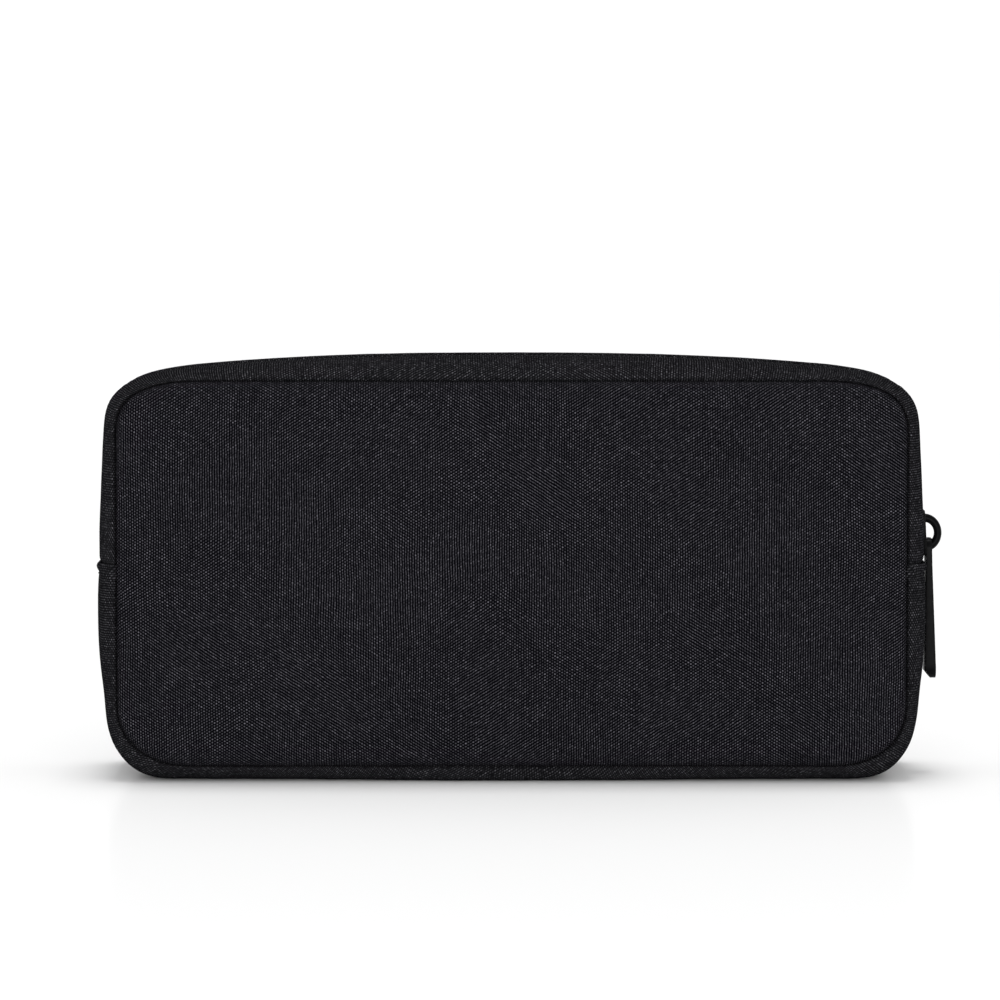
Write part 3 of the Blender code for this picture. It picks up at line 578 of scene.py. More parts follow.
def high_half(shape, heights):
    """Seam and crest of the zip gusset's right half, from given heights on its side to the top's middle."""
    meeting = np.array((shape.seam_half_width, shape.seam_top))
    side = meeting - (0, shape.seam_high_height)
    top = meeting - (shape.seam_high_width, 0)
    start = heights[0]
    share_up = (heights - start) / (heights[-1] - start)
    seam = np.vstack((
        np.column_stack((np.full(len(heights), side[0]), start + (side[1] - start) * share_up)),
        bend_curve(side, top, meeting, SEAM_HIGH_CORNER, CORNER_STEPS),
        np.linspace(top, (0, shape.seam_top), TOP_STEPS + 1)[1:],
    ))
    lean = (shape.zip_foot_width - shape.crest_shoulder) / (shape.crest_shoulder_height - ZIP_FOOT)
    side = np.array((shape.crest_shoulder, shape.crest_shoulder_height))
    top = (shape.arch_half_width, crest_arch(shape, shape.arch_half_width))
    peak = (shape.crest_shoulder, shape.crest_corner_peak)
    across = np.linspace(shape.arch_half_width, 0, TOP_STEPS + 1)[1:]
    crest = np.vstack((
        np.column_stack((side[0] + lean * (side[1] - heights), heights)),
        bend_curve(side, top, peak, CREST_HIGH_CORNER, CORNER_STEPS),
        np.column_stack((across, crest_arch(shape, across))),
    ))
    bend = slice(len(heights) // 2, len(heights) + CORNER_STEPS + HIGH_EASE_PAST)
    crest[bend] = eased(crest[bend], HIGH_EASE_PASSES)
    return seam, crest


def right_half(shape, side_steps):
    """Seam and crest of the pouch's whole right half, from the bottom's middle to the top's middle."""
    low = low_half(shape, np.linspace(shape.crest_low_height, ZIP_FOOT, side_steps + 1)[1:])
    high = high_half(shape, np.linspace(ZIP_FOOT, shape.crest_shoulder_height, side_steps + 1))
    return [np.vstack((below, above[1:])) for below, above in zip(low, high)]


def low_run(shape):
    """The lower gusset from the left hem under the bottom to the right hem, with each station's inset."""
    rising = np.linspace(shape.crest_low_height, HEM_START, HEM_SIDE_STEPS + 1)[1:]
    seam, crest = low_half(shape, np.concatenate((rising, HEM_HEIGHTS)))
    inset = np.zeros(len(seam))
    inset[-len(HEM_HEIGHTS):] = HEM_INSETS
    return Run(under_bottom(seam), under_bottom(crest)), np.concatenate((inset[:0:-1], inset))


def high_run(shape):
    """The zip gusset from the right hem over the top to the left hem, with each station's inset."""
    rising = np.linspace(TUCK_HEIGHTS[-1], shape.crest_shoulder_height, HEM_SIDE_STEPS + 1)[1:]
    heights = np.concatenate((TUCK_HEIGHTS, rising))
    seam, crest = high_half(shape, heights)
    inset = np.zeros(len(seam))
    inset[: len(TUCK_INSETS)] = TUCK_INSETS
    inset[: len(heights)] += ZIP_SINK * np.clip(1 - (heights - ZIP_FOOT) / ZIP_SINK_HEIGHT, 0, 1) ** 2
    return Run(over_top(seam), over_top(crest)), np.concatenate((inset, inset[-2::-1]))


def ripple(values, wave, seed):
    """A smooth uneven wave along a row of distances, from about -1 to 1."""
    return np.array([noise.noise((value / wave, seed, RIPPLE_PLANE)) for value in values]) * RIPPLE_GAIN


def flat_half_depths(shape, run):
    """Half depth of the gusset's flat middle at each station: wider under the pouch, where it stands."""
    down = np.clip(-run.out[:, 1], 0, 1)
    return shape.flat_half_depth + (shape.foot_half_depth - shape.flat_half_depth) * down**2


def shoulder(shape, run, inset, seed):
    """Rise and depth of the rounded shoulder, from the groove at its seam to the flat of the crest."""
    inset = inset[:, None]
    up = run.out[:, 1:]
    rise_in = np.tile(GROOVE_RISES, (len(run.seam), 1))
    dips = GROOVE_DIPS + (LEVEL_DIPS - GROOVE_DIPS) * up**LEVEL_POWER
    depth_in = shape.seam_half_depth - dips - inset.clip(0) * HEM_FRONT_SHARE
    sine, cosine = np.sin(SHOULDER_ANGLES)[None, :], np.cos(SHOULDER_ANGLES)[None, :].clip(0)
    square = 1 - FOOT_SQUARENESS * np.clip(-up, 0, 1) ** 2
    rise_out = (run.bulge[:, None] - inset) * sine**square
    flat = flat_half_depths(shape, run)[:, None]
    depth_out = flat + (shape.seam_half_depth - flat - inset * HEM_FRONT_SHARE) * cosine**square
    wave = ripple(run.distance, PUCKER_WAVE, seed)
    wave += LONG_PUCKER_SHARE * ripple(run.distance, LONG_PUCKER_WAVE, seed + LONG_PUCKER_SEED)
    lift = SHOULDER_PUCKER * wave[:, None]
    rise_out = rise_out + lift * sine * np.sin(SHOULDER_ANGLES * 2)[None, :]
    depth_out = depth_out + lift * cosine * np.sin(SHOULDER_ANGLES * 2)[None, :]
    return np.hstack((rise_in, rise_out)), np.hstack((depth_in, depth_out))


def select_only(piece):
    """Make one piece the active and only selected one."""
    bpy.ops.object.select_all(action="DESELECT")
    piece.select_set(True)
    bpy.context.view_layer.objects.active = piece


def apply_modifier(piece, kind, **settings):
    """Add a modifier to a piece and apply it."""
    select_only(piece)
    modifier = piece.modifiers.new(kind.lower(), kind)
    for name, value in settings.items():
        setattr(modifier, name, value)
    bpy.ops.object.modifier_apply(modifier=modifier.name)


def new_object(name, points, faces):
    """A mesh object in the scene from points and faces."""
    mesh = bpy.data.meshes.new(name)
    mesh.from_pydata([tuple(point) for point in points], [], [tuple(face) for face in faces])
    piece = bpy.data.objects.new(name, mesh)
    bpy.context.scene.collection.objects.link(piece)
    return piece


def set_uv(piece, uv):
    """Give a piece its own UV map, in metres, from one place per vertex."""
    mesh = piece.data
    layer = mesh.uv_layers.new(name=UV_NAME)
    corners = np.empty(len(mesh.loops), dtype=np.int32)
    mesh.loops.foreach_get("vertex_index", corners)
    layer.data.foreach_set("uv", np.asarray(uv, dtype=np.float32).reshape(-1, 2)[corners].ravel())


def face_outwards(piece, inwards=False):
    """Turn the faces of an open sheet away from the middle of the pouch, or towards it."""
    mesh = piece.data
    total = sum(face.normal.dot(face.center - POUCH_MIDDLE) * face.area for face in mesh.polygons)
    if (total < 0) != inwards:
        mesh.flip_normals()


def grid_sheet(name, grid, uv):
    """A sheet of quads over a grid of points."""
    rows, columns = grid.shape[:2]
    index = np.arange(rows * columns).reshape(rows, columns)
    quads = np.stack((index[:-1, :-1], index[1:, :-1], index[1:, 1:], index[:-1, 1:]), axis=-1)
    piece = new_object(name, grid.reshape(-1, 3), quads.reshape(-1, 4))
    set_uv(piece, uv)
    return piece


def path_uv(grid, along):
    """Places on the flat cloth: distance along the run, and distance across it from its middle line."""
    steps = np.linalg.norm(np.diff(grid, axis=1), axis=2)
    across = np.hstack((np.zeros((len(grid), 1)), np.cumsum(steps, axis=1)))
    across -= across[:, [grid.shape[1] // 2]]
    return np.stack((np.broadcast_to(along[:, None], across.shape), across), axis=-1)


def finish_cloth(piece, thickness, material, inwards=False):
    """Give a sheet its thickness, smooth shading and material."""
    face_outwards(piece, inwards)
    apply_modifier(piece, "SOLIDIFY", thickness=thickness, offset=-1.0)
    finish(piece, material, CLOTH_SMOOTH)


def finish(piece, material, smooth=METAL_SMOOTH):
    """Smooth shading and a material for a finished mesh."""
    piece.data.materials.clear()
    piece.data.materials.append(bpy.data.materials[material])
    select_only(piece)
    bpy.ops.object.shade_smooth_by_angle(angle=math.radians(smooth))


def settle(piece, nodes=(), face=BACK, body="shell"):
    """Say which body a piece moves with, and hide the solids it stands for.

    A piece of the front is attached to no body: its transform is baked into its mesh.
    """
    if face == FRONT:
        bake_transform(piece)
    else:
        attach(piece, body)
    if nodes:
        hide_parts(*nodes)


def edit_mesh(piece):
    """Enter edit mode on one piece and give its mesh."""
    select_only(piece)
    bpy.ops.object.mode_set(mode="EDIT")
    return bmesh.from_edit_mesh(piece.data)


def leave_edit(piece):
    """Leave edit mode."""
    bmesh.update_edit_mesh(piece.data)
    bpy.ops.object.mode_set(mode="OBJECT")


def weld(piece):
    """Join the points of a mesh that lie at one place."""
    edit_mesh(piece)
    bpy.ops.mesh.select_all(action="SELECT")
    bpy.ops.mesh.remove_doubles(threshold=WELD)
    leave_edit(piece)


def cloth_along(name, grid, along, thickness, material, nodes, face=BACK, inwards=False, closed=False):
    """Cloth over a grid whose rows follow a run, as a settled piece, and its places on the flat cloth."""
    uv = path_uv(grid, along)
    piece = grid_sheet(name, grid, uv)
    if closed:
        weld(piece)
    finish_cloth(piece, thickness, material, inwards)
    settle(piece, nodes, face)
    return piece, uv


def stretched_cloth(name, grid, along, thickness, material, nodes, face=BACK):
    """Cloth over a grid whose rows follow a run, as a settled piece."""
    piece, uv = cloth_along(name, grid, along, thickness, material, nodes, face)


def seam_loop(shape):
    """The whole seam outline, anticlockwise from the middle of the bottom, as close points."""
    seam, _ = right_half(shape, SIDE_STEPS)
    return over_top(seam)[:-1]


def resampled(points, count):
    """Evenly spaced points along an open curve, both ends included."""
    along = distances(points)
    places = np.linspace(0, along[-1], count + 1)
    return np.column_stack([np.interp(places, along, points[:, i]) for i in range(points.shape[1])])


def panel_outline(shape, columns, rows):
    """The seam outline as points that match the border of a grid, from its lower left corner."""
    loop = seam_loop(shape)
    low = BOTTOM_STEPS + CORNER_STEPS // 2
    high = low + 2 * SIDE_STEPS + CORNER_STEPS
    count = len(loop)
    marks = [count - low, low, high, count - high]
    sides = []
    for start, end, steps in zip(marks, marks[1:] + marks[:1], (columns, rows, columns, rows)):
        stop = end if end > start else end + count
        stretch = loop[np.arange(start, stop + 1) % count]
        sides.append(resampled(stretch, steps)[:-1])
    return np.vstack(sides)


def inset_loop(loop, distance):
    """A closed outline moved inwards by a distance."""
    along = np.roll(loop, -1, axis=0) - np.roll(loop, 1, axis=0)
    along /= np.linalg.norm(along, axis=1)[:, None]
    return loop + np.column_stack((-along[:, 1], along[:, 0])) * distance


def fill_border(border, columns, rows):
    """Points of a grid that fills a closed border."""
    corners = (0, columns, columns + rows, 2 * columns + rows)
    bottom = border[: columns + 1]
    right = border[columns : columns + rows + 1]
    top = border[columns + rows : 2 * columns + rows + 1][::-1]
    left = np.vstack((border[2 * columns + rows :], border[:1]))[::-1]
    s = np.linspace(0, 1, columns + 1)[None, :, None]
    t = np.linspace(0, 1, rows + 1)[:, None, None]
    low_left, low_right, high_right, high_left = (border[i] for i in corners)
    flat = (1 - t) * bottom[None] + t * top[None] + (1 - s) * left[:, None] + s * right[:, None]
    flat -= (1 - s) * (1 - t) * low_left + s * (1 - t) * low_right
    flat -= (1 - s) * t * high_left + s * t * high_right
    return flat


def border_index(columns, rows):
    """Indices of a grid's border points, anticlockwise from its lower left corner."""
    wide = columns + 1
    bottom = list(range(columns))
    right = [j * wide + columns for j in range(rows)]
    top = [rows * wide + i for i in range(columns, 0, -1)]
    left = [j * wide for j in range(rows, 0, -1)]
    return bottom + right + top + left


def crowned_sheet(name, shape, rings, columns, rows, depth_of):
    """A sheet that fills the seam outline: rings beside the seam, and a grid inside them."""
    outline = panel_outline(shape, columns, rows)
    grid = fill_border(inset_loop(outline, rings[-1]), columns, rows).reshape(-1, 2)
    flat = [grid]
    rim = []
    insets = [np.full(len(grid), rings[-1])]
    wide = columns + 1
    corners = [j * wide + i for j in range(rows) for i in range(columns)]
    faces = [(a, a + 1, a + 1 + wide, a + wide) for a in corners]
    last = border_index(columns, rows)
    total = len(grid)
    for distance in rings[-2::-1]:
        ring = inset_loop(outline, distance)
        flat.append(ring)
        insets.append(np.full(len(ring), distance))
        new = list(range(total, total + len(ring)))
        rim.append(new)
        total += len(ring)
        for i in range(len(ring)):
            j = (i + 1) % len(ring)
            faces.append((new[i], new[j], last[j], last[i]))
        last = new
    flat = np.vstack(flat)
    depth = depth_of(flat, np.concatenate(insets))
    piece = new_object(name, np.column_stack((flat[:, 0], depth, flat[:, 1])), faces)

    # On the flat cloth the rings lie further out, by the length of the rounded edge
    uv = flat.copy()
    level = depth[border_index(columns, rows)].mean()
    reach = 0.0
    for ring, outer, inner in zip(rim, rings[-2::-1], rings[::-1]):
        reach += math.hypot(inner - outer, depth[ring].mean() - level)
        level = depth[ring].mean()
        uv[ring] = inset_loop(outline, rings[-1] - reach)
    set_uv(piece, uv)
    return piece


def crown_depth(shape, insets):
    """How far a panel stands proud of its seam, at a distance in from the seam."""
    left = 1 - np.clip(insets / shape.crown_width, 0, 1)
    return shape.crown * np.sqrt(1 - left * left)


def panel_depth(shape, face):
    """Depth of a padded panel: rounded at its seam, lifted in the middle, and never quite even."""
    seed = PANEL_SEEDS[face]
    wide, high = PANEL_SWELL_SIZE
    middle = (shape.seam_top + shape.seam_bottom) / 2
    half = (shape.seam_top - shape.seam_bottom) / 2

    def depth_of(flat, insets):
        x, z = flat[:, 0], flat[:, 1]
        lift = (1 - (x / shape.seam_half_width) ** 2) * (1 - ((z - middle) / half) ** 2)
        around = np.arctan2(z - middle, x) * PANEL_PUCKER_RADIUS
        puckers = ripple(around, PANEL_PUCKER_WAVE, seed) * PANEL_PUCKER
        puckers *= np.exp(-insets / PANEL_PUCKER_REACH) * np.clip(insets / PANEL_PUCKER_START, 0, 1)
        swell = np.array([noise.noise((a / wide, b / high, seed)) for a, b in flat]) * PANEL_SWELL
        swell *= np.clip(insets / shape.crown_width, 0, 1)
        beyond = np.minimum(z - shape.seam_bottom, shape.seam_top - z) - insets
        level = np.clip(1 - beyond / LEVEL_FADE, 0, 1)
        dip = PANEL_DIP + (LEVEL_PANEL_DIP - PANEL_DIP) * level
        dip *= np.exp(-insets / (PANEL_DIP_REACH + (LEVEL_PANEL_DIP_REACH - PANEL_DIP_REACH) * level))
        depth = shape.seam_half_depth + crown_depth(shape, insets) + shape.pillow * np.clip(lift, 0, 1)
        return face * (depth + puckers + swell - dip)

    return depth_of


def places_of(mesh):
    """The places of a mesh's vertices."""
    places = np.empty(len(mesh.vertices) * 3)
    mesh.vertices.foreach_get("co", places)
    return places.reshape(-1, 3)


def plump(piece, held):
    """Fill a panel out by a short cloth simulation, held at its seam and kept near its first shape."""
    face_outwards(piece)
    first = places_of(piece.data)
    seam = piece.vertex_groups.new(name="seam")
    seam.add(list(range(len(first) - held, len(first))), 1.0, "REPLACE")
    settings = piece.modifiers.new("padding", "CLOTH").settings
    settings.vertex_group_mass = seam.name
    settings.use_pressure = True
    settings.uniform_pressure_force = PADDING_PRESSURE
    settings.effector_weights.gravity = 0.0
    for number in range(1, PADDING_FRAMES + 1):
        bpy.context.scene.frame_set(number)
    select_only(piece)
    bpy.ops.object.modifier_apply(modifier="padding")
    moved = places_of(piece.data) - first
    far = np.maximum(np.linalg.norm(moved, axis=1), TINY)[:, None]
    kept = first + moved * np.tanh(far / PADDING_LIMIT) * PADDING_LIMIT / far
    piece.data.vertices.foreach_set("co", kept.ravel())
    piece.data.update()
    piece.vertex_groups.clear()
    bpy.context.scene.frame_set(1)


class POUCH_OT_panels(bpy.types.Operator):
    """Front and back panels of woven cloth over padding"""

    bl_idname = "pouch.panels"
    bl_label = "Panels"

    def execute(self, context):
        shape = context.scene.pouch_shape
        nodes = {
            FRONT: [
                "front_panel_lower", "front_panel_fold", "front_panel_upper",
                "front_foam_lower", "front_foam_upper",
            ],
            BACK: ["back_panel", "back_foam"],
        }
        for name, face in FACES:
            depth_of = panel_depth(shape, face)
            piece = crowned_sheet(
                f"{name}_panel_cloth", shape, PANEL_RINGS, PANEL_COLUMNS, PANEL_ROWS, depth_of
            )
            plump(piece, held=PADDING_RINGS_HELD * 2 * (PANEL_COLUMNS + PANEL_ROWS))
            finish_cloth(piece, shape.cloth, "Woven cloth")
            settle(piece, nodes[face], face)
        return {"FINISHED"}


def frame_matrix(place, along, up):
    """Matrix that puts local X along one direction and local Z near another."""
    along = along.normalized()
    across = up.cross(along).normalized()
    up = along.cross(across).normalized()
    matrix = Matrix((along, across, up)).transposed().to_4x4()
    matrix.translation = place
    return matrix


def hem_stitch_place(shape, side, depth):
    """Matrix of a stitch that lies across the lower side: its length along Y, its top outwards."""
    bulge = crest_side(shape, HEM_STITCH) - shape.seam_half_width
    reach = shape.seam_half_depth - shape.flat_half_depth
    over = max(abs(depth) - shape.flat_half_depth, 0) / reach
    rise = bulge * math.sqrt(1 - over * over) + HEM_STITCH_LIFT
    turn = math.asin(over) * (1 if depth > 0 else -1)
    along = Vector((-side * math.sin(turn) * HEM_STITCH_TURN, math.cos(turn), 0)).normalized()
    up = Vector((side * math.cos(turn), math.sin(turn), 0))
    return frame_matrix(Vector((side * (shape.seam_half_width + rise), depth, HEM_STITCH)), along, up)


def stitch_tool(size):
    """The mesh of one stitch of a length and width: a short thread that dives into the cloth at both ends."""
    length_along, width = size
    bpy.ops.object.select_all(action="DESELECT")
    bpy.ops.mesh.primitive_uv_sphere_add(segments=8, ring_count=6, radius=0.5)
    tool = bpy.context.object
    bpy.ops.transform.resize(value=(width, width, length_along))
    bpy.ops.transform.rotate(value=math.radians(90), orient_axis="Y", center_override=(0, 0, 0))
    bpy.ops.object.transform_apply(location=True, rotation=True, scale=True)
    mesh = tool.data
    bpy.data.objects.remove(tool)
    return mesh


def copies(name, tool, places):
    """One piece made of copies of a small mesh, one at each place."""
    points = np.column_stack((places_of(tool), np.ones(len(tool.vertices))))
    shapes = [tuple(face.vertices) for face in tool.polygons]
    all_points = []
    faces = []
    for place in places:
        start = len(all_points) * len(points)
        all_points.append((points @ np.array(place).T)[:, :3])
        faces += [tuple(start + i for i in face) for face in shapes]
    return new_object(name, np.vstack(all_points), faces)


def stitch_row(name, places, size=STITCH_SIZE):
    """A row of stitches."""
    tool = stitch_tool(size)
    piece = copies(name, tool, places)
    bpy.data.meshes.remove(tool)
    finish(piece, "Sewing thread", THREAD_SMOOTH)
    return piece


class POUCH_OT_gusset(bpy.types.Operator):
    """Gusset round the bottom and the lower sides, hemmed over the ends of the zip"""

    bl_idname = "pouch.gusset"
    bl_label = "Lower gusset"

    def execute(self, context):
        shape = context.scene.pouch_shape
        run, inset = low_run(shape)
        front_rise, front_depth = shoulder(shape, run, inset, GUSSET_SEEDS[FRONT])
        back_rise, back_depth = shoulder(shape, run, inset, GUSSET_SEEDS[BACK])
        across = np.linspace(-1, 1, FLAT_COLUMNS + 1)[None, 1:-1]
        flat_depths = flat_half_depths(shape, run)[:, None] * across
        flat_rise = np.repeat((run.bulge - inset)[:, None], flat_depths.shape[1], axis=1)
        rise = np.hstack((front_rise, flat_rise, back_rise[:, ::-1]))
        depth = np.hstack((-front_depth, flat_depths, back_depth[:, ::-1]))
        stretched_cloth(
            "lower_gusset_cloth", run.points(rise, depth), run.distance,
            shape.cloth, "Edge cloth", ["lower_gusset"],
        )
        stitches = np.linspace(-HEM_STITCH_REACH, HEM_STITCH_REACH, HEM_STITCHES)
        for word, side in SIDES:
            places = [hem_stitch_place(shape, side, y) for y in stitches]
            settle(stitch_row(f"hem_stitching_{word}", places))
        return {"FINISHED"}


def strip_grid(shape, zip_sizes, run, inset, face):
    """Points of a zip strip, from its seam over the shoulder to its edge, which is folded under."""
    rise, depth = shoulder(shape, run, inset, STRIP_SEEDS[face])
    stretches = (
        (0, STRIP_FLAT),
        (zip_sizes.strip_stitch, STRIP_SEAM),
        (zip_sizes.strip_edge, STRIP_FOLD),
    )
    course = np.array([(up * MM, start + away * MM) for start, rows in stretches for up, away in rows])
    edge_rise = (run.bulge - inset)[:, None] + course[None, :, 0]
    edge_depth = np.broadcast_to(course[:, 1], edge_rise.shape)
    return run.points(np.hstack((rise, edge_rise)), face * np.hstack((depth, edge_depth)))


def run_places(run, inset, pitch, depth, lift, margin=RUN_MARGIN, shift=0.0):
    """Matrices at even steps along a run's crest: local X along the run, local Z outwards."""
    crest = run.crest - run.out * inset[:, None]

    def crest_at(distance):
        return np.array([np.interp(distance, run.distance, crest[:, i]) for i in range(2)])

    places = []
    for distance in np.arange(run.distance[0] + margin + shift, run.distance[-1] - margin, pitch):
        x, z = crest_at(distance)
        ahead = crest_at(distance + RUN_STEP) - crest_at(distance - RUN_STEP)
        along = Vector((ahead[0], 0, ahead[1])).normalized()
        up = Vector((along.z, 0, -along.x))
        places.append(frame_matrix(Vector((x, depth, z)) + up * lift, along, up))
    return places


class POUCH_OT_strips(bpy.types.Operator):
    """Cloth strips on both sides of the zip, folded and stitched along the zip"""

    bl_idname = "pouch.strips"
    bl_label = "Zip strips"

    def execute(self, context):
        shape, zip_sizes = context.scene.pouch_shape, context.scene.pouch_zip
        run, inset = high_run(shape)
        ends = [f"front_strip_{part}_{word}" for part in ("end", "fold") for word, _ in SIDES]
        nodes = {FRONT: ["front_zip_strip", *ends], BACK: ["back_zip_strip"]}
        for name, face in FACES:
            stretched_cloth(
                f"{name}_strip_cloth", strip_grid(shape, zip_sizes, run, inset, face), run.distance,
                shape.cloth, "Edge cloth", nodes[face], face,
            )
            stitch = face * zip_sizes.strip_stitch
            places = run_places(run, inset, STRIP_STITCH_PITCH, stitch, STRIP_STITCH_LIFT)
            settle(stitch_row(f"{name}_strip_stitching", places), face=face)
        return {"FINISHED"}


def added_box(name, low, high):
    """A box between two corners."""
    low, high = Vector(low), Vector(high)
    bpy.ops.object.select_all(action="DESELECT")
    bpy.ops.mesh.primitive_cube_add(size=1, location=(low + high) / 2)
    piece = bpy.context.object
    piece.name = piece.data.name = name
    bpy.ops.transform.resize(value=high - low)
    bpy.ops.object.transform_apply(location=True, rotation=True, scale=True)
    return piece


def soften(piece, width, angle, segments=3):
    """Round every edge that is sharper than an angle in degrees."""
    apply_modifier(
        piece, "BEVEL", width=width, segments=segments, limit_method="ANGLE", angle_limit=math.radians(angle)
    )


def coil_tool(zip_sizes):
    """The mesh of one turn of the coil: a flattened loop of round wire across the zip."""
    reach = (zip_sizes.coil_outer + zip_sizes.coil_inner) / 2 - zip_sizes.wire
    rise = zip_sizes.coil_half_height - zip_sizes.wire
    bpy.ops.object.select_all(action="DESELECT")
    bpy.ops.curve.primitive_bezier_circle_add(radius=1.0)
    tool = bpy.context.object
    tool.data.resolution_u = 3
    tool.data.bevel_depth = zip_sizes.wire
    tool.data.bevel_resolution = 1
    bpy.ops.object.mode_set(mode="EDIT")
    bpy.ops.curve.select_all(action="SELECT")
    bpy.ops.transform.resize(value=(reach, rise, 1.0))
    bpy.ops.object.mode_set(mode="OBJECT")
    bpy.ops.object.convert(target="MESH")
    tool = bpy.context.object
    mesh = tool.data
    bpy.data.objects.remove(tool)
    return mesh


class POUCH_OT_zip_chain(bpy.types.Operator):
    """Zip tapes, their coils and the end stops"""

    bl_idname = "pouch.zip_chain"
    bl_label = "Zip tapes, coils and stops"

    def execute(self, context):
        shape, zip_sizes = context.scene.pouch_shape, context.scene.pouch_zip
        run, inset = high_run(shape)
        tool = coil_tool(zip_sizes)
        tapes, coils = (
            {
                FRONT: [f"front_zip_{part}", *(f"front_{part}_end_{word}" for word, _ in SIDES)],
                BACK: [f"back_zip_{part}"],
            }
            for part in ("tape", "coil")
        )
        depths = np.linspace(zip_sizes.tape_inner, zip_sizes.tape_outer, TAPE_COLUMNS + 1)
        rise = np.repeat((run.bulge - inset - zip_sizes.tape_depth)[:, None], len(depths), axis=1)
        for name, face in FACES:
            stretched_cloth(
                f"{name}_tape", run.points(rise, face * depths), run.distance,
                zip_sizes.tape, "Zip tape", tapes[face], face,
            )
            piece = copies(f"{name}_coil", tool, self.coil_places(zip_sizes, run, inset, face))
            finish(piece, "Coil nylon", COIL_SMOOTH)
            settle(piece, coils[face], face)
        bpy.data.meshes.remove(tool)
        for word, side in SIDES:
            self.add_stop(word, side)
        return {"FINISHED"}

    def coil_places(self, zip_sizes, run, inset, face):
        """Places of one coil's turns: those of the back lie between those of the front."""
        margin = zip_sizes.coil_start - TUCK_HEIGHTS[0]
        shift = 0.0 if face == FRONT else zip_sizes.coil_pitch / 2
        middle = face * (zip_sizes.coil_outer - zip_sizes.coil_inner) / 2
        places = run_places(
            run, inset, zip_sizes.coil_pitch, middle, -zip_sizes.coil_depth, margin, shift
        )
        slant = Matrix.Rotation(face * COIL_SLANT, 4, "Z")
        return [place @ slant @ COIL_TURN for place in places]

    def add_stop(self, word, side):
        """The clip over both coils at one end of the zip, sunk as deep as the zip lies."""
        sink = Vector((side * STOP_SINK, 0, 0))
        low, high = (Vector(corner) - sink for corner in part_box(f"zip_stop_{word}"))
        piece = added_box(f"end_stop_{word}", low, high)
        soften(piece, STOP_BEVEL, angle=30, segments=4)
        finish(piece, "Black metal")
        settle(piece, [f"zip_stop_{word}"])


def round_outline(piece, radius, segments):
    """Round the edges of a box that run along X, and stay in edit mode."""
    bm = edit_mesh(piece)
    for edge in bm.edges:
        along = (edge.verts[1].co - edge.verts[0].co).normalized()
        edge.select_set(abs(along.x) > OUTLINE_ALONG)
    bmesh.update_edit_mesh(piece.data)
    bpy.ops.mesh.bevel(offset=radius, segments=segments, affect="EDGES")


def bevelled_box(name, low, high, corner, edge):
    """A box with its four edges along X rounded first, and then every edge softened."""
    piece = added_box(name, low, high)
    if corner:
        round_outline(piece, corner, segments=6)
        leave_edit(piece)
    soften(piece, edge, angle=40)
    return piece


def joined(name, pieces):
    """Several meshes as one piece."""
    bpy.ops.object.select_all(action="DESELECT")
    for piece in pieces:
        piece.select_set(True)
    bpy.context.view_layer.objects.active = pieces[0]
    bpy.ops.object.join()
    pieces[0].name = pieces[0].data.name = name
    return pieces[0]


